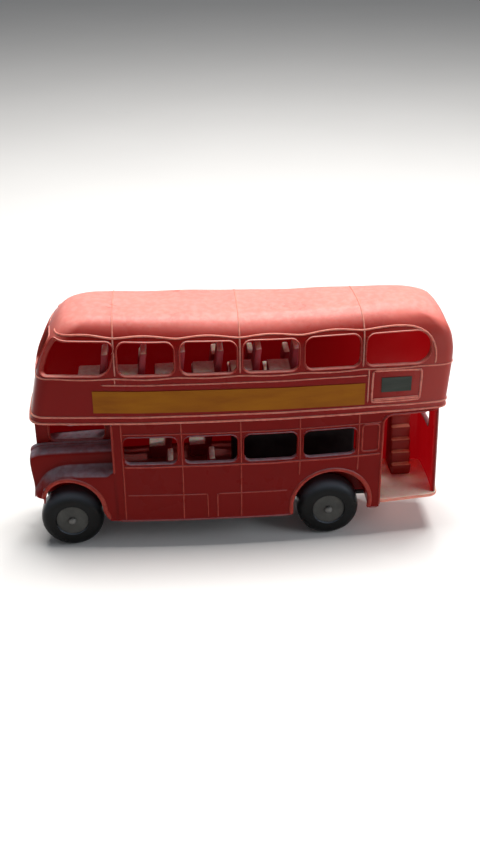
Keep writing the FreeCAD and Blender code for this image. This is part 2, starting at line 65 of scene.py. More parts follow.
def aim_camera(place, pitch, yaw, roll, lens):
    """Forward = (sin yaw, -cos yaw, 0) tipped down by the pitch; right and down are turned by the roll."""
    ahead = np.array([math.sin(yaw), -math.cos(yaw), 0.0])
    up = np.array([0.0, 0.0, 1.0])
    forward = ahead * math.cos(pitch) - up * math.sin(pitch)
    right = np.array([-math.cos(yaw), -math.sin(yaw), 0.0])
    down = -up * math.cos(pitch) - ahead * math.sin(pitch)
    turned_right = right * math.cos(roll) + down * math.sin(roll)
    turned_down = -right * math.sin(roll) + down * math.cos(roll)
    data = bpy.data.cameras.new("camera")
    data.sensor_fit, data.sensor_width, data.lens = "HORIZONTAL", 36.0, lens
    data.clip_start, data.clip_end = 0.01, 20.0
    camera = bpy.data.objects.new("camera", data)
    camera.matrix_world = turned_to(place, turned_right, -turned_down, -forward)
    bpy.context.scene.collection.objects.link(camera)
    bpy.context.scene.camera = camera
    return camera


camera = aim_camera(place=(0.0231, 0.4109, 0.2731), pitch=0.5057, yaw=-0.0613, roll=0.0108, lens=84.49)
print("camera at", tuple(round(v, 3) for v in camera.location))

# %% [markdown]
# ## Finishes
# Every finish here is the same few nodes: a cloudy noise, a value spread over a new run, a mix of two
# colours and a bump. They could be placed by hand in the shader editor. A small class with one method for
# each keeps a material's recipe short enough to read, and every number stays beside the thing it changes.

# %% A material and its nodes
class Finish:
    """A new material, with short ways to add the nodes it is made of. Each way returns the node's output."""

    def __init__(self, name):
        self.material = bpy.data.materials.new(name)
        self.material.use_nodes = True
        self.nodes, self.links = self.material.node_tree.nodes, self.material.node_tree.links
        coordinates = self.nodes.new("ShaderNodeTexCoord")
        self.place, self.facing = coordinates.outputs["Object"], coordinates.outputs["Normal"]

    def feed(self, node, values):
        """Sets each named or numbered socket to a value, or wires another node's output into it."""
        for socket, value in values.items():
            if hasattr(value, "is_output"):
                self.links.new(value, node.inputs[socket])
            else:
                node.inputs[socket].default_value = value

    def add(self, kind, settings, values):
        """A node of that kind with its settings and its sockets' values."""
        node = self.nodes.new("ShaderNode" + kind)
        for setting, value in settings.items():
            setattr(node, setting, value)
        self.feed(node, values)
        return node

    def noise(self, scale, detail, roughness=0.5, place=None):
        """Clouds between 0 and 1: `scale` of them to a metre, with `detail` finer layers on top."""
        return self.add("TexNoise", {}, {"Vector": place or self.place, "Scale": scale, "Detail": detail,
                                         "Roughness": roughness}).outputs["Fac"]

    def spread(self, value, low, high, to_low=0.0, to_high=1.0, smooth=False):
        """The run from low to high stretched over the run from to_low to to_high, and held at both ends."""
        settings = {"interpolation_type": "SMOOTHSTEP" if smooth else "LINEAR"}
        return self.add("MapRange", settings, {"Value": value, "From Min": low, "From Max": high,
                                               "To Min": to_low, "To Max": to_high}).outputs[0]

    def mix(self, share, first, second):
        """first * (1 - share) + second * share; a colour may be three numbers or another node's output."""
        first, second = ((*colour, 1) if isinstance(colour, tuple) else colour for colour in (first, second))
        return self.add("Mix", {"data_type": "RGBA"}, {"Factor": share, 6: first, 7: second}).outputs[2]

    def combine(self, operation, first, second, held=False):
        """Two values added or multiplied; held keeps the result between 0 and 1."""
        return self.add("Math", {"operation": operation, "use_clamp": held}, {0: first, 1: second}).outputs[0]

    def axis(self, vector, name):
        """One coordinate of a vector."""
        return self.add("SeparateXYZ", {}, {0: vector}).outputs[name]

    def bump(self, height, strength, distance, under=None):
        """Tilts the shading as if the surface rose by height * distance metres, on top of another bump."""
        values = {"Height": height, "Strength": strength, "Distance": distance}
        return self.add("Bump", {}, {**values, "Normal": under} if under else values).outputs[0]

    def shade(self, **values):
        """Feeds the shader's own sockets; an underscore stands for a space in a socket's name."""
        shader = self.nodes["Principled BSDF"]
        self.feed(shader, {name.replace("_", " "): value for name, value in values.items()})
        return self.material


print("one class for every finish")

# %% [markdown]
# ## Floor and light
# The light is one big soft panel overhead, a window at the side, a small lamp and a pale room. A single
# hard lamp would make sharper shadows than a toy on a table has: here the roof is bright and the sides
# stay in soft shade.

# %% Floor
FLOOR_REACH = 6
FLOOR_GREYS = (0.80, 0.84)


def floor_material():
    """Matt paper white, clouded between two greys that are nearly the same."""
    finish = Finish("pale_floor")
    ramp = finish.add("ValToRGB", {}, {"Fac": finish.noise(9.0, 2.0)})
    for stop, grey in zip(ramp.color_ramp.elements, FLOOR_GREYS):
        stop.color = (grey, grey, grey, 1)
    return finish.shade(Base_Color=ramp.outputs["Color"], Roughness=0.9, Specular_IOR_Level=0.1)


corners = [(x * FLOOR_REACH, y * FLOOR_REACH, 0) for x, y in ((-1, -1), (1, -1), (1, 1), (-1, 1))]
floor_mesh = bpy.data.meshes.new("floor")
floor_mesh.from_pydata(corners, [], [(0, 1, 2, 3)])
floor = bpy.data.objects.new("floor", floor_mesh)
floor.data.materials.append(floor_material())
bpy.context.scene.collection.objects.link(floor)
print("a floor of", 2 * FLOOR_REACH, "m")

# %% Light
def light_panel(name, place, towards, size, watts, colour):
    """A rectangular soft light whose face looks from place at towards."""
    data = bpy.data.lights.new(name, "AREA")
    data.shape, data.size, data.size_y = "RECTANGLE", size[0], size[1]
    data.energy, data.color = watts, colour
    lamp = bpy.data.objects.new(name, data)
    back = np.array(place, float) - np.array(towards, float)
    back /= np.linalg.norm(back)
    level = (0.0, 1.0, 0.0) if abs(back[2]) > 0.9 else (0.0, 0.0, 1.0)
    side = np.cross(level, back)
    side /= np.linalg.norm(side)
    lamp.matrix_world = turned_to(place, side, np.cross(back, side), back)
    bpy.context.scene.collection.objects.link(lamp)


# name, its place and what it looks at in metres, its two sizes in metres, its watts and its colour
LIGHTS = (("overhead", (-0.05, -0.10, 0.85), (0, 0, 0.05), (0.55, 0.34), 10.5, (1.0, 0.97, 0.93)),
          ("window", (-0.85, 0.35, 0.42), (0, 0, 0.04), (0.45, 0.45), 3.0, (0.92, 0.96, 1.0)),
          ("lamp", (-0.14, -0.46, 0.78), (0, 0, 0.09), (0.14, 0.05), 1.6, (1.0, 0.98, 0.95)))
for light in LIGHTS:
    light_panel(*light)
world = bpy.data.worlds.new("room")
bpy.context.scene.world = world
world.use_nodes = True
room = world.node_tree.nodes["Background"].inputs
room["Color"].default_value, room["Strength"].default_value = (0.93, 0.96, 1.0, 1), 0.14
bpy.context.scene.view_settings.view_transform = "Standard"
print(len(LIGHTS), "lights and a pale room")

# %% [markdown]
# ## Surfaces as arrays
# Each piece is a grid of points worked out in one go with numpy, in millimetres. A surface is kept as
# points, faces and one number per point for painted light: 0 on plain walls, 1 on raised edges, which get a
# painted highlight, and -1 on the inner side of a shell, which gets a painted glow. The finish reads that
# number later.

# %% Grids and joining
def grid_faces(rows, columns, closed=False):
    """Quads between neighbouring rows and columns; closed joins the last column to the first."""
    index = np.arange(rows * columns).reshape(rows, columns)
    if closed:
        index = np.hstack([index, index[:, :1]])
    return np.stack([index[:-1, :-1], index[:-1, 1:], index[1:, 1:], index[1:, :-1]], axis=-1).reshape(-1, 4)


def surface(points, faces, painted_light=0.0):
    """The three things a surface is kept as: points, faces as tuples, and painted light at every point."""
    points = np.asarray(points, float).reshape(-1, 3)
    faces = faces.tolist() if isinstance(faces, np.ndarray) else faces
    light_values = np.broadcast_to(np.asarray(painted_light, float), (len(points),)).copy()
    return points, [tuple(face) for face in faces], light_values


def join(*parts):
    """One surface from several, with face numbers shifted by the points before them."""
    points, faces, painted_light, start = [], [], [], 0
    for part in parts:
        points.append(part[0])
        faces += [tuple(corner + start for corner in face) for face in part[1]]
        painted_light.append(part[2])
        start += len(part[0])
    return np.concatenate(points), faces, np.concatenate(painted_light)


def mirrored(part):
    """The same surface on the offside: y changes sign and each face runs the other way round."""
    return part[0] * (1, -1, 1), [face[::-1] for face in part[1]], part[2]


def unit(vectors):
    """Each row divided by its own length."""
    return vectors / np.linalg.norm(vectors, axis=1)[:, None]


def evenly(low, high, step=1.0):
    """Evenly spaced places from low to high, about a step apart."""
    return np.linspace(low, high, max(2, int(round(abs(high - low) / step)) + 1))


def way(value, start, length):
    """How much of the way from start over that length a value has come, from 0 to 1 and held there."""
    return np.clip((value - start) / length, 0, 1)


print("a grid of 3 by 4 points has", len(grid_faces(3, 4)), "faces")

# %% [markdown]
# ## Old plastic creeps
# The toy's thin shells have drooped and waved over the years. Each body piece could be bent by hand, but
# then pieces that meet would part. One function of place bends them all alike, so their seams stay
# closed.

# %% The shells' sag
LIFT_HEIGHTS = (50, 61, 80, 88, 102)
TAIL_LIFTS = (1.0, -0.5, -0.8, -0.7, 1.0)       # how far the tail has lifted at each of those heights
DROOP_FROM, DROOP_RUN = 10, 75                  # how far behind the middle it starts, and its length
WAVE, RIPPLE = 0.16, 0.10                       # the edges' long and short waves
BROW_LIFT, BROW_RUN = 1.8, 60                   # how far the roof's front has risen, and over what length


def sag(points):
    """The tail has lifted at the floor and the roof but sunk at the upper sill, the roof's front has risen,
    and the long edges wave by a fifth of a millimetre: the sum of two sines along the bus."""
    x, y, z = points.T
    tail = way(-x, DROOP_FROM, DROOP_RUN) ** 1.6
    lift = np.interp(z, LIFT_HEIGHTS, TAIL_LIFTS)
    wave = WAVE * np.sin(x / 9.0 + 0.6) + RIPPLE * np.sin(x / 4.3 + z / 30)
    high = way(z, 14, 90)
    brow = BROW_LIFT * way(x, -4, BROW_RUN) * way(z, 88, 11) ** 1.5
    sideways = np.sign(y) * wave * 0.6 * (np.abs(y) > 14) * (z > 16)
    return np.column_stack([x, y + sideways, z + lift * tail + wave * (0.3 + 0.7 * high) + brow])


bent = sag(np.array([[-85.0, 0.0, 60.0]]))[0] - (-85.0, 0.0, 60.0)
print("the tail moves by", bent.round(2), "mm at the deck")

# %% [markdown]
# ## Pieces and walls
# A piece is its surface put into a mesh in metres, welded, shaded smooth and tied to its body. A moulded
# shell has a wall as thick as the real one: Blender's Solidify gives the single skin that wall, inwards.
# Working out a second skin by formula would cross itself at tight corners.

# %% Pieces
WELD = 2e-3                                     # points nearer than this are one point


def make_piece(name, part, material, replaces=(), body="body", crease=40, sagging=True):
    """Turns a surface into a mesh object in metres that rides on a body."""
    points, faces, painted_light = part
    mesh = bpy.data.meshes.new(name)
    mesh.from_pydata(((sag(points) if sagging else points) * MM).tolist(), [], faces)
    # each point's painted-light number: painted highlight on raised edges, painted glow on inner walls
    mesh.attributes.new("painted_light", "FLOAT", "POINT").data.foreach_set("value", painted_light.astype(np.float32))
    work = bmesh.new()
    work.from_mesh(mesh)
    bmesh.ops.remove_doubles(work, verts=work.verts, dist=WELD * MM)
    work.to_mesh(mesh)
    work.free()
    mesh.polygons.foreach_set("use_smooth", [True] * len(mesh.polygons))
    mesh.set_sharp_from_angle(angle=math.radians(crease))
    piece = bpy.data.objects.new(name, mesh)
    bpy.context.scene.collection.objects.link(piece)
    mesh.materials.append(material)
    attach(piece, body)
    if replaces:
        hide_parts(*replaces)
    print(f"{name}: {len(mesh.vertices)} points, {len(mesh.polygons)} faces")


# %% Walls
SHORTEST = 0.14                                 # edges shorter than this are closed up


def thickened(part, wall, inside=0.0):
    """Gives a single skin its wall, inwards; the inner wall's points get `inside` as their painted light."""
    points, faces, painted_light = part
    mesh = bpy.data.meshes.new("skin")
    mesh.from_pydata(points.tolist(), [], faces)
    mesh.attributes.new("painted_light", "FLOAT", "POINT").data.foreach_set("value", painted_light.astype(np.float32))
    work = bmesh.new()
    work.from_mesh(mesh)
    bmesh.ops.remove_doubles(work, verts=work.verts, dist=WELD)
    bmesh.ops.dissolve_degenerate(work, edges=work.edges, dist=min(SHORTEST, wall / 4))
    work.to_mesh(mesh)
    work.free()
    outer = len(mesh.vertices)
    skin = bpy.data.objects.new("skin", mesh)
    bpy.context.scene.collection.objects.link(skin)
    solid = skin.modifiers.new("wall", "SOLIDIFY")
    solid.thickness, solid.offset, solid.use_even_offset = wall, -1.0, False
    ready = bpy.data.meshes.new_from_object(skin.evaluated_get(bpy.context.evaluated_depsgraph_get()))
    result = np.zeros(len(ready.vertices) * 3)
    ready.vertices.foreach_get("co", result)
    light_values = np.zeros(len(ready.vertices))
    ready.attributes["painted_light"].data.foreach_get("value", light_values)
    # inner-wall points: a negative value gives them a painted glow
    light_values[outer:] = inside
    quads = [tuple(face.vertices) for face in ready.polygons]
    bpy.data.objects.remove(skin)
    return result.reshape(-1, 3), quads, light_values


print("walls are welded within", WELD, "mm")

# %% [markdown]
# ## Openings
# A window is a rounded rectangle. Its signed distance is negative inside, zero on the edge and positive
# outside. With it a hole needs no cutting tool: grid points close to the edge slide onto it, and faces
# inside are dropped. A boolean would work too, but it leaves long thin faces that shade badly on a curved
# glossy wall.

# %% Window shapes
class Opening:
    """Rounded rectangle from a0 to a1 along and b0 to b1 up; each end has its own radius, and it may lean."""

    def __init__(self, a0, a1, b0, b1, radius=3.4, low_radius=None, lean=0.0):
        self.centre = ((a0 + a1) / 2, (b0 + b1) / 2)
        self.half = ((a1 - a0) / 2, (b1 - b0) / 2)
        self.radii = (radius if low_radius is None else low_radius, radius)
        self.lean = lean

    def distance(self, a, b):
        """|max(q, 0)| + min(max(q), 0) - r, where q = |p - centre| - half + r."""
        up = b - self.centre[1]
        along = a - self.centre[0] + self.lean * up
        radius = np.where(along < 0, self.radii[0], self.radii[1])
        qa, qb = np.abs(along) - self.half[0] + radius, np.abs(up) - self.half[1] + radius
        return np.hypot(np.maximum(qa, 0), np.maximum(qb, 0)) + np.minimum(np.maximum(qa, qb), 0) - radius

    def edge(self, steps=9):
        """The closed outline: four corner arcs, with the straight runs between them cut into short steps."""
        arcs = []
        for a_side, b_side, start in ((1, 1, 0), (-1, 1, 90), (-1, -1, 180), (1, -1, 270)):
            radius = min(self.radii[0] if a_side < 0 else self.radii[1], self.half[1] - 0.01)
            turn = np.radians(np.linspace(start, start + 90, steps))
            arcs.append(np.column_stack([a_side * (self.half[0] - radius) + radius * np.cos(turn),
                                         b_side * (self.half[1] - radius) + radius * np.sin(turn)]))
        loop = divided(np.concatenate(arcs))
        loop[:, 0] -= self.lean * loop[:, 1]
        return loop + self.centre


def divided(loop, longest=1.5, shortest=1e-4):
    """A closed line with its long runs cut into even steps, point + step / count * run, and none doubled."""
    run = np.roll(loop, -1, axis=0) - loop
    count = np.maximum(1, (np.linalg.norm(run, axis=1) / longest).astype(int))
    start = np.repeat(np.arange(len(loop)), count)
    step = np.arange(count.sum()) - np.repeat(np.cumsum(count) - count, count)
    loop = loop[start] + run[start] * (step / count[start])[:, None]
    return loop[np.linalg.norm(np.roll(loop, -1, axis=0) - loop, axis=1) > shortest]


pane = Opening(-10.0, 10.0, 0.0, 14.0)
print("a window's centre is", round(-float(pane.distance(0.0, 7.0)), 2), "mm inside its edge")

# %% Other open shapes
ALONG, UP = 0, 1


class Arch:
    """A round opening for a wheel: distance = |p - centre| - radius."""

    def __init__(self, a, b, radius):
        self.a, self.b, self.radius = a, b, radius

    def distance(self, a, b):
        return np.hypot(a - self.a, b - self.b) - self.radius


class Beyond:
    """Everything past a place along one axis: distance = -sign * (p - place)."""

    def __init__(self, axis, place, sign):
        self.axis, self.place, self.sign = axis, place, sign

    def distance(self, a, b):
        return -self.sign * ((a if self.axis == ALONG else b) - self.place)


print("an arch of 14 mm is", float(Arch(0.0, 0.0, 14.0).distance(20.0, 0.0)), "mm from a point 20 mm off")

# %% Holes in a grid
SNAP = 0.5                                      # how far a grid point may move to meet a hole's edge


def snapped(flat, opening):
    """Points near the edge move straight onto it: p - distance * slope / |slope|^2."""
    step = 1e-3
    a, b = flat[:, 0], flat[:, 1]
    distance = opening.distance(a, b)
    slope_a = (opening.distance(a + step, b) - opening.distance(a - step, b)) / (2 * step)
    slope_b = (opening.distance(a, b + step) - opening.distance(a, b - step)) / (2 * step)
    length = np.maximum(slope_a ** 2 + slope_b ** 2, 1e-6)
    near = (np.abs(distance) < SNAP) & (length > 0.5)
    move = np.where(near, distance / length, 0.0)
    return np.column_stack([a - move * slope_a, b - move * slope_b])


def with_holes(points, faces, chosen, axes, openings):
    """Opens holes in the chosen points of a shell, seen along the axis that axes leaves out."""
    points = points.copy()
    flat = points[chosen][:, axes]
    for opening in openings:
        flat = snapped(flat, opening)
    block = points[chosen]
    block[:, axes] = flat
    points[chosen] = block
    middle = points[faces].mean(axis=1)
    inside_group = chosen[faces].sum(axis=1) >= 3
    return points, faces[~(inside_group & is_open(middle[:, axes], openings))]


def is_open(flat, openings):
    """True for each point that lies inside any of the openings."""
    gone = np.zeros(len(flat), bool)
    for opening in openings:
        gone |= opening.distance(flat[:, 0], flat[:, 1]) < -1e-3
    return gone


def tidy(points, faces):
    """Drops the points that no face uses."""
    used = np.unique(faces)
    number = np.full(len(points), -1)
    number[used] = np.arange(len(used))
    return surface(points[used], number[faces])


print("a hole's edge takes the points within", SNAP, "mm")

# %% [markdown]
# ## Beads
# The raised lines on the toy were cut as grooves in the steel mould. Each is a thin round rod, half sunk
# in the wall. A curve object with a bevel would draw one too, but not one that lies on the wall's own
# slope, so here a small ellipse is carried along a path. The same rod, flatter and set deeper, makes the
# soft lip round a window.

# %% Rods carried along a path
def travelled(path):
    """How far along its own length each point of a path lies."""
    return np.concatenate([[0], np.cumsum(np.linalg.norm(np.diff(path, axis=0), axis=1))])


def rod(path, normal, across=0.34, out=0.34, sink=0.0, closed=False, painted_light=1.0, corners=10):
    """Point = path + (out * cos t - sink) * normal + across * sin t * (tangent x normal). The ends are
    rounded: size = sqrt(1 - (1 - distance to the end / (2 * across))^2)."""
    path, normal = np.asarray(path, float), np.asarray(normal, float)
    if closed:
        tangent = np.roll(path, -1, axis=0) - np.roll(path, 1, axis=0)
        size = np.ones(len(path))
    else:
        tangent = np.gradient(path, axis=0)
        gone = travelled(path)
        ends = np.minimum(gone, gone[-1] - gone) / (2 * across)
        size = np.sqrt(np.clip(1 - (1 - np.clip(ends, 0, 1)) ** 2, 0, 1))
    tangent /= np.linalg.norm(tangent, axis=1)[:, None] + 1e-12
    normal = unit(normal - (normal * tangent).sum(axis=1)[:, None] * tangent)
    sideways = np.cross(tangent, normal)
    turn = np.linspace(0, 2 * np.pi, corners, endpoint=False)
    size = size[:, None, None]
    points = (path[:, None] + (out * size * np.cos(turn)[None, :, None] - sink) * normal[:, None]
              + (across * size * np.sin(turn)[None, :, None]) * sideways[:, None])
    faces = grid_faces(len(path), corners, closed=True)
    if closed:
        first = np.arange(corners)
        last = first + (len(path) - 1) * corners
        seam = np.stack([last, np.roll(last, -1), np.roll(first, -1), first], axis=-1)
        faces = np.concatenate([faces, seam])
    return surface(points, faces, painted_light)


def resampled(path, step):
    """The same line with its points a step apart, found along its own length."""
    path = np.asarray(path, float)
    gone = travelled(path)
    places = np.linspace(0, gone[-1], max(3, int(gone[-1] / step) + 1))
    return np.column_stack([np.interp(places, gone, path[:, k]) for k in range(path.shape[1])])


def smooth_line(keys, rounds):
    """Corner cutting: every run is replaced by its points at one and three quarters, again and again."""
    line = np.asarray(keys, float)
    for _ in range(rounds):
        quarter, three = line[:-1] * 0.75 + line[1:] * 0.25, line[:-1] * 0.25 + line[1:] * 0.75
        cut = np.stack([quarter, three], axis=1).reshape(-1, line.shape[1])
        line = np.concatenate([line[:1], cut, line[-1:]])
    return line


def flat_lip(loop, outward, across, out, painted_light=0.16, corners=12):
    """The soft lip of a window: a closed flat rod, sunk so deep that only its outer edge stands proud."""
    return rod(loop, outward, across=across, out=out, sink=0.78, closed=True, painted_light=painted_light, corners=corners)


print("three keys become", len(smooth_line([[0, 0], [1, 0], [1, 1]], 3)), "points after three rounds")

# %% [markdown]
# ## The outline from above
# Both shells share one idea: a box whose sides and ends bow outwards, with round corners. Scaling a
# round-cornered box would stretch its corners, so they are set in afterwards: a corner's centre has to
# lie one radius inside both the side's arc and the end's arc, which a few rounds of substitution find.

# %% Corners of the outline
HALF, WIDEST, SIDE_BOW = 21.0, 5.0, 714.0       # half width, where it is reached, and the sides' radius
END_BOW, REAR_BOW = 2.2, 1.0                    # how far the front and the rear face bulge at their middle
FRONT_CORNER, REAR_TIGHT = 6.5, 0.7             # the front corners' largest radius, the rear ones' share


def side_half(x, inset=0.0):
    """Half width = 21 - inset - (x - 5)^2 / (2 * 714)."""
    return HALF - inset - (x - WIDEST) ** 2 / (2 * SIDE_BOW)


def corner_arc(end, sign, inset, corner, rounds=12):
    """Centre of a corner and the two directions in which it touches the side and the end, found by rounds of
    working out each from the other."""
    bow = END_BOW if sign > 0 else REAR_BOW
    cx, cy = end - sign * (corner + bow), HALF - inset - corner
    side_normal = np.stack([np.zeros_like(cx), np.ones_like(cx)])
    end_normal = np.stack([np.full_like(cx, float(sign)), np.zeros_like(cx)])
    for _ in range(rounds):
        slope = -(cx + corner * side_normal[0] - WIDEST) / SIDE_BOW
        side_normal = np.stack([-slope, np.ones_like(slope)]) / np.sqrt(1 + slope ** 2)
        cy = side_half(cx + corner * side_normal[0], inset) - corner * side_normal[1]
        y = cy + corner * end_normal[1]
        lean = 2 * bow * y / HALF ** 2
        end_normal = np.stack([np.full_like(lean, float(sign)), lean]) / np.sqrt(1 + lean ** 2)
        cx = end - sign * bow * (y / HALF) ** 2 - corner * end_normal[0]
    return cx, cy, side_normal, end_normal


print("half width at the rear axle:", round(side_half(-38.0), 2), "mm")

# %% Bowed box outline
def end_and_corner(end, sign, inset, radius, corner_count, end_count):
    """Half an end face and its corner: x = end - sign * bow * (y / half)^2, then an arc to the side."""
    bow = END_BOW if sign > 0 else REAR_BOW
    cx, cy, side_normal, end_normal = corner_arc(end, sign, inset, radius)
    first, last = np.arctan2(end_normal[1], end_normal[0]), np.arctan2(side_normal[1], side_normal[0])
    turn = first + (last - first) * np.linspace(0, 1, corner_count)[None]
    arc_x, arc_y = cx + radius * np.cos(turn), cy + radius * np.sin(turn)
    face_y = arc_y[:, :1] * np.linspace(0, 1, end_count)[None, :-1]
    face_x = end - sign * bow * (face_y / HALF) ** 2
    return np.hstack([face_x, arc_x]), np.hstack([face_y, arc_y])


def bowed_outline(rear, front, inset, corner, side_count, corner_count, end_count):
    """Closed outlines, one row for each height, that run from the front's middle round by the nearside."""
    rear, front, inset, corner = (np.asarray(value, float).reshape(-1, 1)
                                  for value in np.broadcast_arrays(rear, front, inset, corner))
    front_radius, rear_radius = np.minimum(corner, FRONT_CORNER), corner * REAR_TIGHT
    front_x, front_y = end_and_corner(front, 1, inset, front_radius, corner_count, end_count)
    rear_x, rear_y = end_and_corner(rear, -1, inset, rear_radius, corner_count, end_count)
    share = np.linspace(0, 1, side_count)[None, 1:-1]
    side_x = front_x[:, -1:] + (rear_x[:, -1:] - front_x[:, -1:]) * share
    x = np.hstack([front_x, side_x, rear_x[:, ::-1]])
    y = np.hstack([front_y, side_half(side_x, inset), rear_y[:, ::-1]])
    return np.hstack([x, x[:, -2:0:-1]]), np.hstack([y, -y[:, -2:0:-1]])


def end_outward(y, sign, slope=0.0):
    """Outward direction on an end face: (sign, 2 * bow * y / half^2, -sign * slope), made a unit long."""
    return unit(np.column_stack([np.full(len(y), float(sign)), 2 * END_BOW * y / HALF ** 2, -sign * slope]))


print("one outline has", bowed_outline([-85.0], [83.0], 0.0, 6.0, 60, 12, 14)[0].shape[1], "points")

# %% [markdown]
# ## Upper shell
# Outlines are stacked from the deck to the roof. Above the windows each one shrinks along a quarter
# circle: a small one over the sides, a large one over the tail for the dome, a middle one over the front
# for the brow. The roof is the last outline drawn in to a spine, and a crown is added to all of it.
# Sculpting a box would give the same look but not the same wall everywhere.

# %% Upper shell's sizes
DECK, EAVES = 59.2, 99.5                        # heights of the shell's foot and of the roof's edge
CROWN, CROWN_FROM = 2.8, 84.0                   # the roof's rise at its middle, and where it starts
SHOULDER, DOME, BROW = 9.5, 16.5, 18.0          # radii over the sides, the tail and the front
NOSE, RAKE = 83.0, 9.0 / 43.1                   # the front face's foot, and how far it leans for its height
TAIL, TAIL_LEAN = -85.3, 1.4                    # the rear face at the deck, and how far back it leans
TAIL_LEAN_FROM, TAIL_LEAN_OVER = 60.0, 20.0     # the height where it starts to, and the height it takes
WALL = 1.6                                      # the shells' thickness


def drawn_in(z, radius):
    """How far a quarter circle of that radius has drawn in at height z: r - sqrt(r^2 - (z - eaves + r)^2)."""
    climb = np.clip(z - (EAVES - radius), 0, radius)
    return radius - np.sqrt(np.maximum(radius ** 2 - climb ** 2, 0))


def tail_at(z):
    """The rear face: it leans back by 1.4 from the deck to the sill, then curls in as the dome."""
    return TAIL - TAIL_LEAN * way(z, TAIL_LEAN_FROM, TAIL_LEAN_OVER) + drawn_in(z, DOME)


def nose_at(z):
    """The front face: raked 9 in 43, then curling in as the brow."""
    return NOSE - RAKE * (z - DECK) - drawn_in(z, BROW)


def crowned(y, z):
    """The roof rises by 2.8 at its middle: a parabola across, faded in smoothly over the shoulder."""
    fade = way(z, CROWN_FROM, EAVES - CROWN_FROM)
    return z + CROWN * (1 - (y / HALF) ** 2) * fade ** 2 * (3 - 2 * fade)


def roof_corner(inset):
    """The corners' radius grows as the outline draws in: 6 + 0.85 * inset, while there is room for it."""
    return np.minimum(6.0 + 0.85 * inset, HALF - inset - 4.0)


print("roof at its middle:", round(float(crowned(0.0, EAVES)), 1), "mm")

# %% Finding a place on the upper shell
def looked_up(want, falling, *values):
    """Straight-line interpolation in every row at once, where `falling` runs downwards along each row."""
    last = np.clip((falling > want[:, None]).sum(axis=1), 1, falling.shape[1] - 1)[:, None]
    before, after = np.take_along_axis(falling, last - 1, 1), np.take_along_axis(falling, last, 1)
    share = (want[:, None] - before) / np.minimum(after - before, -1e-9)
    return [(np.take_along_axis(value, last - 1, 1) * (1 - share)
             + np.take_along_axis(value, last, 1) * share)[:, 0] for value in values]


def run_along(x, y):
    """Distance along each row of an outline from where it passes x = 0 on the nearside; forward counts up."""
    steps = np.hypot(np.diff(x, axis=1), np.diff(y, axis=1))
    length = np.concatenate([np.zeros((len(x), 1)), np.cumsum(steps, axis=1)], axis=1)
    return looked_up(np.zeros(len(x)), x, length)[0][:, None] - length


def near_half(x, y):
    """The nearside half of every row of closed outlines."""
    half = x.shape[1] // 2 + 1
    return x[:, :half], y[:, :half]


def upper_place(along, z):
    """Point on the upper shell, `along` its outline from x = 0 and z up."""
    inset = drawn_in(z, SHOULDER)
    x, y = near_half(*bowed_outline(tail_at(z), nose_at(z), inset, roof_corner(inset), 60, 12, 14))
    x, y = looked_up(along, run_along(x, y), x, y)
    return np.column_stack([x, y, crowned(y, z)])


def upper_side(along, z, small=0.25):
    """Point and outward direction on the upper shell: the direction is square to two short steps on it."""
    along, z = np.broadcast_arrays(np.asarray(along, float), np.asarray(z, float))
    forward = upper_place(along + small, z) - upper_place(along - small, z)
    up = upper_place(along, z + small) - upper_place(along, z - small)
    return upper_place(along, z), unit(-np.cross(forward, up))


print("the nose at the sill:", upper_side([85.0], [80.0])[0][0].round(1))

# %% Upper shell's skin
def upper_levels():
    """Heights of the stacked outlines: even up the walls, then even turns up the shoulder's arc."""
    walls = np.linspace(DECK, 88.5, 34)
    shoulder = EAVES - SHOULDER + SHOULDER * np.sin(np.radians(np.linspace(-5, 90, 15)))
    return np.concatenate([walls, shoulder[shoulder > 89.0]])


def upper_skin(side_count=176, corner_count=11, end_count=17, roof_rings=10, spine_end=11.0):
    """The stacked outlines, then the roof: the last outline drawn in, ring by ring, to its spine."""
    z = upper_levels()
    rear, front, inset = tail_at(z), nose_at(z), drawn_in(z, SHOULDER)
    x, y = bowed_outline(rear, front, inset, roof_corner(inset), side_count, corner_count, end_count)
    height = np.broadcast_to(z[:, None], x.shape)
    draw = np.linspace(1, 0, roof_rings + 1)[1:, None]
    spine_x = np.clip(x[-1], rear[-1] + spine_end, front[-1] - spine_end)
    x = np.vstack([x, spine_x + (x[-1] - spine_x) * draw])
    y = np.vstack([y, y[-1] * draw])
    height = np.vstack([height, np.full((roof_rings, x.shape[1]), EAVES)])
    points = np.stack([x, y, crowned(y, height)], axis=-1).reshape(-1, 3)
    return points, grid_faces(*x.shape, closed=True), height.ravel(), len(x)


print("upper skin:", upper_skin()[3], "outlines")

# %% Upper windows
FIRST_PILLAR, BAY_PITCH, PILLAR_WIDTH = 47.2, 24.15, 1.9
SILL, HEAD = 80.1, 93.6                         # the windows' lower and upper edge


def pillar(number):
    """The middle of a pillar, counted rearwards from the cab's."""
    return FIRST_PILLAR - number * BAY_PITCH


def bay(number):
    """Rear and front edge of the window behind a pillar."""
    return pillar(number + 1) + PILLAR_WIDTH / 2, pillar(number) - PILLAR_WIDTH / 2


upper_windows = [Opening(*bay(number), SILL, HEAD) for number in range(4)]
upper_windows.append(Opening(-77.0, bay(4)[1], SILL, HEAD - 0.4, low_radius=6.3))
upper_windows.append(Opening(pillar(0) + PILLAR_WIDTH / 2, 75.8, SILL, HEAD, radius=4.0, lean=0.3))
front_pane = Opening(1.2, 12.6, SILL, HEAD - 1, radius=2.8)
rear_exit = Opening(-9.5, 9.5, SILL, HEAD - 4, radius=2.8)
print(len(upper_windows), "windows a side, two front panes and a rear exit")

# %% Upper shell with its holes
def distance_along(points, rows):
    """Each shell point's distance along its outline from x = 0, the same on both sides."""
    near = run_along(*near_half(points[:, 0].reshape(rows, -1), np.abs(points[:, 1].reshape(rows, -1))))
    return np.hstack([near, near[:, -2:0:-1]]).ravel()


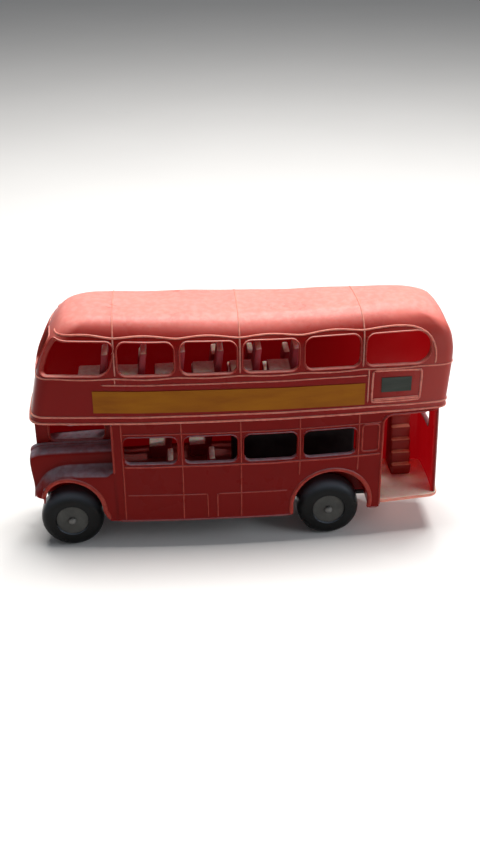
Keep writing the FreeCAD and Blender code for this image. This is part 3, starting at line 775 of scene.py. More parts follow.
def cut_sides(points, shown, faces, rows, low_enough):
    """Side windows are set out on distance along the shell, so that the last ones run round the corner."""
    start = distance_along(points, rows)
    x, y = points[:, 0], np.abs(points[:, 1])
    beside = (y > 11.0) & (x > -83.0) & (x < 81.0) & low_enough
    run = np.column_stack([start, shown[:, 1:]])
    unrolled = run.copy()
    run, faces = with_holes(run, faces, beside, [0, 2], upper_windows)
    slid = np.abs(run - unrolled).max(axis=1) > 1e-6
    place, _ = upper_side(run[slid, 0], run[slid, 2])
    shown[slid] = np.column_stack([place[:, 0], place[:, 1] * np.sign(shown[slid, 1]), run[slid, 2]])
    return shown, faces


def cut_ends(points, shown, faces, low_enough):
    """The front panes, one on each side, and the rear exit are seen along the bus."""
    at_front = (points[:, 0] > 68.0) & (np.abs(points[:, 1]) < 17.0) & low_enough
    for sign in (1, -1):
        one = at_front & (points[:, 1] * sign > 0.2)
        flipped, faces = with_holes(shown * (1, sign, 1), faces, one, [1, 2], [front_pane])
        shown = flipped * (1, sign, 1)
    at_rear = (points[:, 0] < -78.0) & (np.abs(points[:, 1]) < 14.0) & low_enough
    return with_holes(shown, faces, at_rear, [1, 2], [rear_exit])


def upper_with_holes(points, faces, level, rows):
    """Windows are set out on each point's height before the crown is added; then the crown is put back."""
    low_enough = level < EAVES - 2.0
    shown = np.column_stack([points[:, :2], level])
    shown, faces = cut_sides(points, shown, faces, rows, low_enough)
    shown, faces = cut_ends(points, shown, faces, low_enough)
    return tidy(np.column_stack([shown[:, :2], points[:, 2] + shown[:, 2] - level]), faces)


upper_shell = thickened(upper_with_holes(*upper_skin()), WALL, inside=-1.0)
print("upper shell:", len(upper_shell[1]), "faces")

# %% [markdown]
# ## Raised lines of the upper shell
# A wavy bead sweeps over the windows and curls round the last one, two more run under them, a double one
# marks the deck, three seams cross the roof and come down the pillars, and a frame stands round the small
# blind box. They could be a bump in the finish, but their shadows and worn tops only look right on real
# geometry.

# %% Rims and beads on a side
SEAM_PILLARS = (0, 2, 4)                        # the pillars whose seam crosses the roof


def side_lip(opening, wall, out):
    """The lip of a side window; `wall` gives point and outward direction for a place on that wall."""
    loop = opening.edge()
    return flat_lip(*wall(loop[:, 0], loop[:, 1]), 0.42, out)


def side_bead(keys, size, rounds=1, painted_light=1.0, *, wall):
    """A round bead along key points (place along the wall, height), rounded by corner cutting."""
    line = resampled(smooth_line(keys, rounds), 0.9)
    return rod(*wall(line[:, 0], line[:, 1]), across=size, out=size, painted_light=painted_light)


def scalloped(start, stop, low, rise):
    """A line that dips at the pillars and climbs by `rise` over each window: low + rise * |sin|^1.4."""
    x = np.linspace(start, stop, 120)
    phase = (FIRST_PILLAR - x) / BAY_PITCH
    return np.column_stack([x, low + rise * np.abs(np.sin(np.pi * phase)) ** 1.4])


def upper_side_beads():
    """The beads of one side, each as its key points, radius, rounds of corner cutting and painted highlight.
    """
    front_end = [[73.6, 94.5], [73.0, 94.5], [72.4, 94.5]]
    curl = [[-56, 94.9], [-64, 95.0], [-70.5, 94.3], [-75.6, 91.8], [-78.4, 87.5], [-79.0, 82.5],
            [-78.6, 79.6]]
    over_windows = np.concatenate([front_end, scalloped(72.0, -49.2, 94.5, 0.8), curl])
    sill = np.concatenate([[[98, 79.0]], scalloped(80.0, -79.5, 79.2, -0.45), [[-103, 79.3]]])
    blind_frame = [[-54.0, 78.0], [-73.0, 77.8], [-73.6, 77.2], [-73.3, 65.0], [-72.7, 64.3], [-54.0, 64.0],
                   [-53.4, 64.8], [-53.6, 77.4], [-54.0, 78.0]]
    beads = [(over_windows, 0.36, 1, 1.0),
             (sill, 0.34, 1, 1.0),
             ([[53, 76.4], [0, 76.1], [-51.6, 76.4]], 0.30, 3, 1.0),
             ([[-51.9, 79.6], [-51.9, 64.2]], 0.30, 3, 1.0),
             (blind_frame, 0.42, 1, 1.0),
             ([[-53.6, 65.2], [-73.2, 65.5]], 0.62, 3, 0.8)]
    beads += [([[pillar(number), 95.0], [pillar(number), 80.0]], 0.26, 3, 1.0) for number in SEAM_PILLARS]
    beads.append(([[47.5, 79.6], [47.4, 76.6]], 0.26, 3, 1.0))
    return beads


print(len(upper_side_beads()), "beads on each side")

# %% Beads round the shell and over the roof
def round_the_shell(z, size):
    """A bead at one height all the way round the shell's outline."""
    x, y = bowed_outline(tail_at(z), nose_at(z), 0.0, 6.0, 150, 12, 12)
    path = np.column_stack([x[0], y[0], np.full(x.shape[1], z)])
    tangent = np.roll(path, -1, axis=0) - np.roll(path, 1, axis=0)
    outward = unit(np.column_stack([tangent[:, 1], -tangent[:, 0], np.zeros(len(path))]))
    return rod(path, outward, across=size, out=size, closed=True)


def over_the_roof(x_side, lean=0.0, size=0.32):
    """A seam from bead to bead over the roof: it follows the side, the shoulder and the crown."""
    z = upper_levels()
    up = z[z > 80.0]
    half = side_half(x_side, drawn_in(up, SHOULDER))
    roof = np.linspace(half[-1], 0, 8)[1:]
    y, z = np.concatenate([half, roof]), np.concatenate([up, np.full(len(roof), EAVES)])
    y, z = np.concatenate([y, -y[-2::-1]]), np.concatenate([z, z[-2::-1]])
    x = x_side + lean * way(z, 95, 5) * (1 - y / 24) / 2
    path = np.column_stack([x, y, crowned(y, z)])
    tangent = np.gradient(path, axis=0)
    outward = unit(np.column_stack([np.zeros(len(path)), tangent[:, 2], -tangent[:, 1]]))
    return rod(path, outward, across=size, out=size * 0.8, painted_light=0.9)


def upper_relief():
    """Every rim and bead of the upper shell, apart from those on its two ends."""
    parts = [side_lip(opening, upper_side, 1.12) for opening in upper_windows]
    parts += [side_bead(*bead, wall=upper_side) for bead in upper_side_beads()]
    parts += [mirrored(part) for part in parts]
    parts += [round_the_shell(z, size) for z, size in ((62.3, 0.40), (59.5, 0.46))]
    leans = (0.0, 0.0, 2.6)
    return parts + [over_the_roof(pillar(number), lean) for number, lean in zip(SEAM_PILLARS, leans)]


print(len(upper_relief()), "rims, beads and seams")

# %% Windows in the ends
def end_lip(opening, face_at, sign, across, out, painted_light, leaning=1.0, corners=12):
    """The lip round a window in the front or the rear face; leaning 1 follows the face's slope, 0 doesn't."""
    loop = opening.edge()
    y, z = loop[:, 0], loop[:, 1]
    slope = leaning * (face_at(y, z + 0.1) - face_at(y, z - 0.1)) / 0.2
    path = np.column_stack([face_at(y, z), y, crowned(y, z)])
    return flat_lip(path, end_outward(y, sign, slope), across, out, painted_light, corners)


def upper_front_x(y, z):
    """The front face's x: the nose less 2.2 * (y / half)^2."""
    return nose_at(z) - END_BOW * (y / HALF) ** 2


def upper_rear_x(y, z):
    """The rear face's x: the tail plus 1.0 * (y / half)^2."""
    return tail_at(z) + REAR_BOW * (y / HALF) ** 2


front_lip = end_lip(front_pane, upper_front_x, 1, 0.52, 1.12, 0.16)
rear_lip = end_lip(rear_exit, upper_rear_x, -1, 0.52, 1.12, 0.16)
upper_moulding = join(upper_shell, *upper_relief(), front_lip, mirrored(front_lip), rear_lip)
print("upper moulding:", len(upper_moulding[1]), "faces")

# %% [markdown]
# ## Lower shell
# The same kind of outline stands straight up from the skirt to the deck. The doorway, the wheel arches,
# the open corner over the bonnet and all the windows are holes in it. Each hole is cut in the view that
# it is seen in, from a side or from an end, because one flat pattern can't be laid round a whole box.

# %% Lower shell's sizes
SKIRT, LOWER_TOP = 13.4, DECK - 0.2             # the shell's lower and upper edge
LOWER_SILL, LOWER_HEAD = 40.3, 52.8             # its windows' lower and upper edge
LOWER_NOSE, LOWER_INSET = 82.0, 0.5
BULKHEAD, CAB_SIDE, CAB_FLOOR, APRON = 50.6, 4.6, 37.4, 20.6
PLATFORM, DOOR_FRONT, DOOR_TOP = 16.8, -59.0, 57.4
FRONT_AXLE, REAR_AXLE, AXLE_HEIGHT = 69.0, -38.0, 12.9
FRONT_ARCH = Arch(69.3, 18.5, 14.0)
REAR_ARCH = Arch(-38.4, 17.0, 16.1)


def lower_tail(z):
    """The rear wall leans: it stands 1 mm further back at the platform than at the deck."""
    return -83.1 - 0.027 * np.clip(57.0 - z, 0, 45)


def lower_side(x, z):
    """Point and outward direction on the nearside of the lower shell: outward = (-slope, 1, 0)."""
    x, z = np.broadcast_arrays(np.asarray(x, float), np.asarray(z, float))
    slope = -(x - WIDEST) / SIDE_BOW
    outward = unit(np.column_stack([-slope, np.ones_like(x), np.zeros_like(x)]))
    return np.column_stack([x, side_half(x, LOWER_INSET), z]), outward


print("the lower shell is", LOWER_TOP - SKIRT, "mm high")

# %% Lower windows and doorway
lower_windows = [Opening(*bay(number), LOWER_SILL, LOWER_HEAD, radius=3.2) for number in range(4)]
doorway = Opening(-95.0, DOOR_FRONT, 0.0, DOOR_TOP, radius=4.5)
offside_windows = [Opening(-72.0, -60.0, LOWER_SILL, LOWER_HEAD, radius=3.2),
                   Opening(55.0, 73.5, 40.0, 53.8, radius=3.2)]
offside_front_arch = Opening(55.3, 83.3, -20.0, 32.5, radius=14.0)
windscreen = Opening(-15.6, 1.8, 40.6, 53.6, radius=2.8)
rear_wall_window = Opening(-15.5, 1.0, LOWER_SILL, LOWER_HEAD - 1.4, radius=2.8)
nearside_holes = lower_windows + [REAR_ARCH, Beyond(ALONG, BULKHEAD, 1), doorway]
offside_holes = lower_windows + [REAR_ARCH, offside_front_arch] + offside_windows
front_holes = [windscreen, Beyond(ALONG, CAB_SIDE, 1), Beyond(UP, APRON, -1)]
rear_holes = [rear_wall_window, Beyond(UP, PLATFORM, -1)]
print(len(lower_windows), "lower windows a side and", len(offside_windows), "more on the offside")

# %% Lower shell with its holes
def belongs(centre):
    """False for faces left over at corners: over the bonnet, under the apron, below and in the doorway."""
    x, y, z = centre.T
    over_bonnet = (y > CAB_SIDE) & (x > BULKHEAD)
    under_apron = (x > 70) & (z < APRON)
    behind_door = (x < DOOR_FRONT) & ((z < PLATFORM) | ((y > 14.2) & (z < DOOR_TOP)))
    return ~(over_bonnet | under_apron | behind_door)


def lower_skin():
    """Straight stacked outlines, with every hole cut in the view that it is seen in."""
    levels = np.linspace(SKIRT, LOWER_TOP, 52)
    x, y = bowed_outline(lower_tail(levels), LOWER_NOSE, LOWER_INSET, 5.5, 180, 9, 18)
    points = np.stack([x, y, np.broadcast_to(levels[:, None], x.shape)], axis=-1).reshape(-1, 3)
    faces = grid_faces(*x.shape, closed=True)
    x, y, _ = points.T
    views = [((y > 13.0) & (x > -82.0), [0, 2], nearside_holes),
             ((y < -13.0) & (x > -78.5) & (x < 78.5), [0, 2], offside_holes),
             ((x > 77.5) & (np.abs(y) < 17.5), [1, 2], front_holes),
             ((x < -80.5) & (np.abs(y) < 16.5), [1, 2], rear_holes)]
    for chosen, axes, openings in views:
        points, faces = with_holes(points, faces, chosen, axes, openings)
    return tidy(points, faces[belongs(points[faces].mean(axis=1))])


lower_shell = thickened(lower_skin(), WALL, inside=-1.0)
print("lower shell:", len(lower_shell[1]), "faces")

# %% [markdown]
# ## Flat walls
# The bulkhead, the cab's inner wall and its floor are flat sheets, and their windows are cut in the sheet
# before it is put in place. A flat box with a boolean would do here, but this way they share the curved
# walls' code.

# %% Bulkhead, cab wall and cab floor
INNER_WALL = 1.4                                # thickness of the flat walls, the decks and the wing


def holed_wall(u, v, place, openings=()):
    """A sheet over u and v with holes, put in its place by a function of both, and given its thickness."""
    grid_u, grid_v = np.meshgrid(u, v)
    flat = np.column_stack([grid_u.ravel(), grid_v.ravel()])
    faces = grid_faces(len(v), len(u))
    for opening in openings:
        flat = snapped(flat, opening)
    faces = faces[~is_open(flat[faces].mean(axis=1), openings)]
    return thickened(tidy(place(flat[:, 0], flat[:, 1]), faces), INNER_WALL)


def bulkhead_place(y, z):
    """Across the bus behind the bonnet: (bulkhead, y, z)."""
    return np.column_stack([np.full_like(y, BULKHEAD), y, z])


def cab_wall_place(x, z):
    """Along the bus beside the bonnet: (x, cab side, z)."""
    return np.column_stack([x, np.full_like(x, CAB_SIDE), z])


def cab_floor_place(x, y):
    """Level, under the driver: (x, y, cab floor)."""
    return np.column_stack([x, y, np.full_like(x, CAB_FLOOR)])


bulkhead_window = Opening(7.0, 15.6, 44.0, 56.0, radius=2.8)
driver_window = Opening(-14.5, 1.5, 42.0, 54.0, radius=2.8)
cab_window = Opening(53.4, 76.6, 44.2, 56.0, radius=2.8)
reach = side_half(BULKHEAD, LOWER_INSET) - 0.3
bulkhead = holed_wall(evenly(-reach, reach), evenly(SKIRT, LOWER_TOP), bulkhead_place,
                      [bulkhead_window, driver_window])
cab_wall = holed_wall(evenly(81.8, BULKHEAD), evenly(CAB_FLOOR, LOWER_TOP), cab_wall_place, [cab_window])
cab_floor = holed_wall(evenly(BULKHEAD, 79.0, 3), evenly(-16.4, CAB_SIDE, 3), cab_floor_place)
print("bulkhead, cab wall and cab floor")

# %% [markdown]
# ## Bonnet and wing
# Beside the cab a low bonnet runs forward, and its flank rolls out into the wing over the wheel. The
# whole corner is one moulding with no seam between them, so it is one skin here too: a line of key points
# across the bus, rounded by corner cutting, whose heights follow the wheel arch below and the drooping
# nose in front.

# %% How the corner's edges run
NOSE_FOOT, ARCH_FOOT, ARCH_REACH = 23.2, 53.0, 12.3     # the nose's lower edge, the wing's two feet
NOSE_START, NOSE_LENGTH, NOSE_TUCK = 78.5, 6.5, 3.2     # where the nose rounds off, and how far in it draws


def arch_lip(x):
    """Height of the wing's lower edge: the arch's circle over the wheel, a flared foot behind it and the
    nose's foot in front. Ahead of the axle the circle is squeezed to 12.3 mm."""
    ahead = np.where(x > FRONT_ARCH.a, FRONT_ARCH.radius / ARCH_REACH, 1.0)
    inside = FRONT_ARCH.radius ** 2 - (ahead * (x - FRONT_ARCH.a)) ** 2
    circle = FRONT_ARCH.b + np.sqrt(np.maximum(inside, 0))
    flared = np.interp(x, [ARCH_FOOT, FRONT_ARCH.a - FRONT_ARCH.radius], [SKIRT, FRONT_ARCH.b])
    low = np.where(x < FRONT_ARCH.a, flared, NOSE_FOOT)
    return np.where(inside > 0, np.maximum(circle, low), low)


def nose_round(x):
    """0 along the flank, rising to 1 at the nose along a quarter circle."""
    return 1 - np.sqrt(np.maximum(1 - way(x, NOSE_START, NOSE_LENGTH) ** 2, 0))


def wing_edge(x):
    """How far out the wing stands: the shell's half width, drawn in at the nose."""
    return side_half(x, LOWER_INSET) - NOSE_TUCK * nose_round(x)


def nose_lean(x, z):
    """The nose draws back towards its foot: 0.4 mm at the bonnet and 1.6 mm below the wing."""
    return way(x, 76.0, 9.0) * (0.4 + 1.2 * way(-z, -38.0, 9.0))


print("the wing's lip over the wheel:", round(float(arch_lip(np.array(FRONT_AXLE))), 1), "mm")

# %% The corner's cross section
BONNET_TOP, HOLLOW_TOP, WING_TOP = 43.3, 36.3, 34.4     # three heights across the corner
BONNET_DROP, HOLLOW_DROP, WING_DROP = 0.5, 9.3, 14.0    # how far each droops by the nose
FLANK_SIDE, FOOT_RISE = 11.2, 3.0               # where the bonnet's flank stands, and the wing's rise behind


def wing_keys(x):
    """Key points (y, z) across the corner at every station x: the bonnet's top, its flank, the hollow beside
    it, the wing's top and its lip. Each height is a level that droops as a power of the way to the nose."""
    rounding, lip, edge = nose_round(x), arch_lip(x), wing_edge(x)
    inner = HOLLOW_TOP - HOLLOW_DROP * way(x, 68.0, 16.5) ** 2.3
    outer = np.maximum(lip + 1.3, WING_TOP - WING_DROP * way(x, 70.0, 13.5) ** 1.6)
    outer = np.minimum(outer, inner + 1.0) + FOOT_RISE * way(-x, -53.5, 3.0) ** 2
    bonnet = BONNET_TOP - 2.6 * rounding - BONNET_DROP * way(x, 70, 14)
    flank = FLANK_SIDE - 0.5 * rounding
    cab = CAB_SIDE + 0 * x
    hollow = [flank + (edge - flank) * part for part in (0.05, 0.15, 0.4, 0.7, 0.92)]
    rows = [(cab - 0.6, bonnet + 0.9), (cab + 0.9, bonnet + 0.9),
            (cab + 1.7, bonnet - 0.35), (cab + 2.6, bonnet),
            (flank - 1.8, bonnet - 0.1), (flank - 0.1, bonnet - 0.9), (flank + 0.35, bonnet - 2.8),
            (hollow[0], inner + 1.3), (hollow[1], inner + 0.25), (hollow[2], inner - 0.3),
            (hollow[3], (inner + outer) / 2 + 0.2), (hollow[4], outer + 0.35), (edge, outer - 0.4),
            (edge, np.minimum(lip + 0.6, outer - 0.6)), (edge, lip)]
    return np.stack([np.stack(pair, axis=-1) for pair in rows], axis=1)


def corner_cut(keys, rounds=3):
    """Corner cutting across the bus for all stations at once."""
    for _ in range(rounds):
        quarter, three = keys[:, :-1] * 0.75 + keys[:, 1:] * 0.25, keys[:, :-1] * 0.25 + keys[:, 1:] * 0.75
        mixed = np.stack([quarter, three], axis=2).reshape(len(keys), -1, 2)
        keys = np.concatenate([keys[:, :1], mixed, keys[:, -1:]], axis=1)
    return keys


def stations():
    """Places along the corner: close together where the arch is steep and where the nose rounds off."""
    behind = [BULKHEAD - 1.2, 51.4, 52.2, ARCH_FOOT, 53.8, 54.6]
    turn = np.cos(np.linspace(0.001, np.pi, 60))
    over = FRONT_ARCH.a - np.where(turn > 0, FRONT_ARCH.radius, ARCH_REACH) * turn
    nose = NOSE_START + NOSE_LENGTH * np.sin(np.linspace(0.29, 1.45, 16))
    return np.unique(np.concatenate([behind, over, nose]))


wing_x = stations()
wing_sections = corner_cut(wing_keys(wing_x))
print(len(wing_x), "cross sections of", wing_sections.shape[1], "points")

# %% Skin, front plate and lip
def front_plate(section, rows=9):
    """Closes the front: its upper edge is the last cross section, its lower one is level, and it bulges by
    0.35 mm. It is two skins 1 mm apart, because its outline steps down at the bonnet's side, where an offset
    would fold over."""
    top = section[section[:, 1] > NOSE_FOOT + 0.4]
    low = np.column_stack([top[:, 0], np.full(len(top), NOSE_FOOT)])
    share = np.linspace(0, 1, rows)[:, None, None]
    plate = low[None] * (1 - share) + top[None] * share
    depth = NOSE_START + NOSE_LENGTH - 0.05 + 0.35 * np.sin(np.pi * share[..., 0]) * np.ones((rows, len(top)))
    points = np.concatenate([depth[..., None], plate], axis=-1).reshape(-1, 3)
    faces = grid_faces(rows, len(top))
    return join(surface(points, faces), surface(points - (1.0, 0.0, 0.0), faces[:, ::-1]))


def wing_lip():
    """A rolled edge that follows the arch half a millimetre outside it, then runs down the flared foot."""
    turn = np.linspace(np.radians(20), np.pi, 50)
    reach = np.where(np.cos(turn) > 0, ARCH_REACH + 0.4, FRONT_ARCH.radius + 0.5)
    x = np.append(FRONT_ARCH.a + reach * np.cos(turn), [54.0, 53.3, 52.5])
    z = np.append(FRONT_ARCH.b + (FRONT_ARCH.radius + 0.5) * np.sin(turn), [16.9, 15.1, SKIRT + 0.4])
    path = np.column_stack([x, wing_edge(x) - 0.25, z])
    return rod(path, np.tile([0.0, 1.0, 0.0], (len(path), 1)), across=1.0, out=0.75, painted_light=0.75)


def bonnet_and_wing(x, sections):
    """The skin over all cross sections with its wall, front plate and lip, all leaning at the nose."""
    count = sections.shape[1]
    points = np.column_stack([np.repeat(x, count), sections.reshape(-1, 2)])
    skin = thickened(surface(points, grid_faces(len(x), count)[:, ::-1]), INNER_WALL)
    points, faces, painted_light = join(skin, front_plate(sections[-1]), wing_lip())
    return np.column_stack([points[:, 0] - nose_lean(*points[:, [0, 2]].T), points[:, 1:]]), faces, painted_light


corner_piece = bonnet_and_wing(wing_x, wing_sections)
print("bonnet and wing:", len(corner_piece[1]), "faces")

# %% [markdown]
# ## Wheel arches and raised lines of the lower shell
# Each arch has a raised band outside and, so that the daylight under the bus doesn't show past the wheel,
# a liner inside: a half tube closed by a plate. The beads mark the pillars, the two sills and the side's
# panels. They lie on the wall by its own formula, as the upper shell's do.

# %% Arches
def arch_rim(arch, foot=SKIRT, band=1.0):
    """A raised band round a wheel arch, from foot to foot, half its width outside the arch."""
    sweep = math.asin((arch.b - foot) / arch.radius)
    turn = np.linspace(-sweep, math.pi + sweep, 60)
    radius = arch.radius + band * 0.5
    place, outward = lower_side(arch.a + radius * np.cos(turn), arch.b + radius * np.sin(turn))
    return rod(place, outward, across=band, out=1.05, sink=0.45, painted_light=0.75)


def arch_liner(arch, deep=7.0, foot=15.8, wall=0.5, ahead=90.0, rings=8, turns=40):
    """A half tube over the wheel from the side wall inwards, closed by a plate and cut off at `ahead`."""
    sweep = math.asin((arch.b - foot) / arch.radius)
    turn = np.linspace(-sweep, math.pi + sweep, turns)
    radius = arch.radius - 0.05
    y = np.linspace(side_half(np.array([arch.a]), LOWER_INSET)[0] - 0.9, deep, rings)
    tube = np.stack([np.broadcast_to(arch.a + radius * np.cos(turn), (rings, turns)),
                     np.repeat(y[:, None], turns, axis=1),
                     np.broadcast_to(arch.b + radius * np.sin(turn), (rings, turns))], axis=-1)
    inward = np.linspace(1, 0, rings + 1)[1:, None]
    plate = np.stack([arch.a + radius * inward * np.cos(turn), np.full((rings, turns), deep),
                      np.maximum(foot, arch.b + radius * inward * np.sin(turn))], axis=-1)
    points = np.concatenate([tube, plate])
    points[..., 0] = np.minimum(points[..., 0], ahead)
    return thickened(surface(points.reshape(-1, 3), grid_faces(2 * rings, turns)), wall)


print("a liner has", len(arch_liner(REAR_ARCH)[1]), "faces")

# %% Beads of both sides
LINE, LOW_SILL_BEAD = 0.26, 0.42


def lower_side_beads():
    """The beads that both sides carry: key points, radius, rounds of corner cutting and painted highlight."""
    sill_x = (46.3, 35, 22.5, 10, -1.1, -13, -25, -37, -49, -58.6)
    sill_z = (39.2, 38.9, 39.2, 38.9, 39.2, 38.9, 39.2, 38.9, 39.2, 39.2)
    pillar_feet = ((46.5, SKIRT), (22.6, SKIRT), (-1.1, SKIRT), (-25.0, 32.0), (-49.0, 32.0))
    panel_lines = ([[45.6, 25.6], [12.7, 25.5]], [[12.7, 25.6], [12.6, 14.0]],
                   [[8.6, 25.6], [8.6, 14.0]], [[8.6, 25.5], [-20.5, 25.4]])
    beads = [([[46.3, 54.1], [0, 53.9], [-58.6, 54.1]], LINE, 1, 1.0),
             (np.column_stack([sill_x, sill_z]), LOW_SILL_BEAD, 2, 1.0)]
    beads += [([[place, 59.0], [place - 0.2, 40], [place, foot + 0.3]], LINE, 1, 1.0)
              for place, foot in pillar_feet]
    beads += [(line, LINE, 1, 1.0) for line in panel_lines]
    return beads + [([[BULKHEAD - 0.5, 59.0], [BULKHEAD - 0.5, 36.0]], 0.45, 1, 0.6)]


def skirt_edge(start, stop, count):
    """The rolled lower edge of the side between two places along the bus."""
    place, outward = lower_side(np.linspace(start, stop, count), np.full(count, SKIRT))
    return rod(place, outward, across=0.5, out=0.95, sink=0.75, painted_light=0.5)


both_sides = [side_lip(opening, lower_side, 1.08) for opening in lower_windows]
both_sides += [arch_rim(REAR_ARCH), arch_liner(REAR_ARCH), arch_liner(FRONT_ARCH, foot=22.0, ahead=79.8)]
both_sides += [side_bead(*bead, wall=lower_side) for bead in lower_side_beads()]
both_sides.append(skirt_edge(BULKHEAD - 1, REAR_ARCH.a + REAR_ARCH.radius, 80))
both_sides.append(skirt_edge(REAR_ARCH.a - REAR_ARCH.radius, DOOR_FRONT + 0.2, 8))
print(len(both_sides), "rims, arches and beads on each side")

# %% Nearside door frame and offside rims
def door_frame():
    """A bead up the doorway's front edge, round its corner and along its top."""
    up = np.linspace(SKIRT + 0.4, 52.9, 40)
    corner = doorway.edge(11)
    corner = corner[(corner[:, 0] > -63.6) & (corner[:, 1] > 53.0)]
    back = np.linspace(-64.5, -77.5, 12)
    line = np.concatenate([np.column_stack([np.full(len(up), DOOR_FRONT), up]), corner,
                           np.column_stack([back, np.full(len(back), DOOR_TOP)])])
    return rod(*lower_side(line[:, 0], line[:, 1]), across=0.55, out=1.1, sink=0.7, painted_light=0.85)


panel = Opening(-57.4, -50.5, 41.0, 53.4, radius=1.2).edge(5)
panel_edge = rod(*lower_side(panel[:, 0], panel[:, 1]), across=0.34, out=0.4, closed=True, painted_light=0.9)
nearside = [panel_edge, door_frame(), side_bead([[-25.0, 35.2], [-25.0, 39.0]], LINE, wall=lower_side)]
offside = [side_lip(opening, lower_side, 1.08) for opening in offside_windows] + [arch_rim(FRONT_ARCH, 22.4)]
print(len(nearside), "pieces on the nearside only,", len(offside), "on the offside only")

# %% Lower rims in flat faces, and the whole moulding
def lower_front_x(y, z):
    """The lower front face's x, the same at every height z: the nose less 2.2 * (y / half)^2."""
    return LOWER_NOSE - END_BOW * (y / HALF) ** 2


def lower_rear_x(y, z):
    """The rear wall's x: the tail plus 1.0 * (y / half)^2."""
    return lower_tail(z) + REAR_BOW * (y / HALF) ** 2


def plane_lip(opening, place, outward):
    """The lip of a window in a flat wall."""
    loop = opening.edge()
    path = place(loop[:, 0], loop[:, 1])
    return rod(path, np.tile(np.asarray(outward, float), (len(path), 1)), across=0.5, out=0.95, sink=0.7,
               closed=True, painted_light=0.6)


end_lips = [end_lip(windscreen, lower_front_x, 1, 0.5, 1.08, 0.7, leaning=0.0, corners=10),
            end_lip(rear_wall_window, lower_rear_x, -1, 0.5, 1.08, 0.7, leaning=0.0, corners=10)]
inner_lips = [plane_lip(bulkhead_window, bulkhead_place, (1, 0, 0)),
              plane_lip(cab_window, cab_wall_place, (0, 1, 0))]
lower_moulding = join(lower_shell, bulkhead, cab_wall, cab_floor, corner_piece, *both_sides,
                      *[mirrored(part) for part in both_sides], *nearside,
                      *[mirrored(part) for part in offside], *end_lips, *inner_lips)
print("lower moulding:", len(lower_moulding[1]), "faces")

# %% [markdown]
# ## Red plastic
# Old glossy polystyrene: deep red in the shade, salmon where it faces up, partly bleached by years of light
# and partly painted light from above, with a painted highlight along every raised edge, dust with a painted
# sheen on flat tops, a painted glow on the inner walls and a faintly blotchy gloss. A painted texture could
# show this too, but it would have to be unwrapped and redone for every shape. One recipe that reads the
# surface's own direction and its painted-light number makes all the reds; only the amounts of fading,
# painted light and dust differ.

# %% The recipe for red plastic
# colour of the painted glow on the shells' inner walls
PAINTED_GLOW = (1.0, 0.004, 0.012, 1)
SCATTER_METRES, SCATTER_COLOURS = 0.003, (1.0, 0.06, 0.04)      # red light travels furthest


def red_plastic(name, deep, faded_and_lit, edge, dust_and_sheen, dust_and_sheen_amount, dust_and_sheen_from=0.5, roughness=0.3, glow=0.3,
                glow_range=(0.0, 0.0), tail_brightening=0.0, shine=0.16):
    """Deep red mixed with faded red by how far the surface faces up, which is fading and painted light, then
    with dust and a painted sheen, then with the edge colour by the painted-light number, a painted highlight.
    Where that number is negative, on a shell's inner wall, a painted glow stands for light through it."""
    finish = Finish(name)
    clouds, grain = finish.noise(38.0, 5.0, 0.6), finish.noise(420.0, 3.0)
    upward = finish.axis(finish.facing, "Z")
    along = finish.axis(finish.place, "X")
    painted_light = finish.add("Attribute", {"attribute_name": "painted_light"}, {}).outputs["Fac"]

    # fading and painted light from above where the surface faces up, painted light on the tail, in blotches
    facing_light = finish.combine("ADD", finish.spread(upward, 0.3, 0.97, smooth=True),
                             finish.spread(along, -0.045, -0.09, to_high=tail_brightening, smooth=True))
    lit_and_bleached = finish.combine("MULTIPLY", facing_light, finish.spread(clouds, 0.3, 0.7, 0.75, 1.1), held=True)
    base = finish.mix(lit_and_bleached, deep, faded_and_lit)

    # dust with a painted sheen on flat tops, and a painted highlight on the raised edges
    facing_up = finish.spread(upward, dust_and_sheen_from, 0.95, to_high=dust_and_sheen_amount, smooth=True)
    dust_and_sheen_share = finish.combine("MULTIPLY", facing_up, finish.spread(grain, 0.4, 0.65, 0.75, 1.2), held=True)
    edge_highlight = finish.combine("MULTIPLY", painted_light, finish.spread(grain, 0.3, 0.75, 0.45, 0.9), held=True)
    colour = finish.mix(edge_highlight, finish.mix(dust_and_sheen_share, base, dust_and_sheen), edge)

    # painted glow on the inner walls, standing for light through the plastic, stronger towards the tail
    inner = finish.spread(painted_light, 0.0, -1.0)
    shining = finish.combine("MULTIPLY", inner, finish.spread(along, -0.035, -0.08, *glow_range))

    ripple = finish.bump(clouds, 0.12, 0.0004)
    return finish.shade(
        Base_Color=colour, Roughness=finish.spread(clouds, 0.3, 0.7, roughness * 0.8, roughness * 1.35),
        Normal=finish.bump(grain, 0.10, 0.00006, under=ripple), Specular_IOR_Level=shine,
        Emission_Color=PAINTED_GLOW, Emission_Strength=shining, Subsurface_Weight=glow,
        Subsurface_Radius=SCATTER_COLOURS, Subsurface_Scale=SCATTER_METRES)


print("inner walls glow in", PAINTED_GLOW)

# %% The six reds
# In every red the faded colour on what faces up is partly fading and partly painted light, and the dust
# colour is dust with a painted sheen.
upper_red = red_plastic("faded_and_lit_red_plastic", deep=(0.205, 0.004, 0.003), faded_and_lit=(0.70, 0.17, 0.14),
                        edge=(0.78, 0.27, 0.21), dust_and_sheen=(0.80, 0.50, 0.46), dust_and_sheen_amount=0.30, glow=0.35,
                        glow_range=(0.07, 0.18), tail_brightening=0.3, shine=0.1)
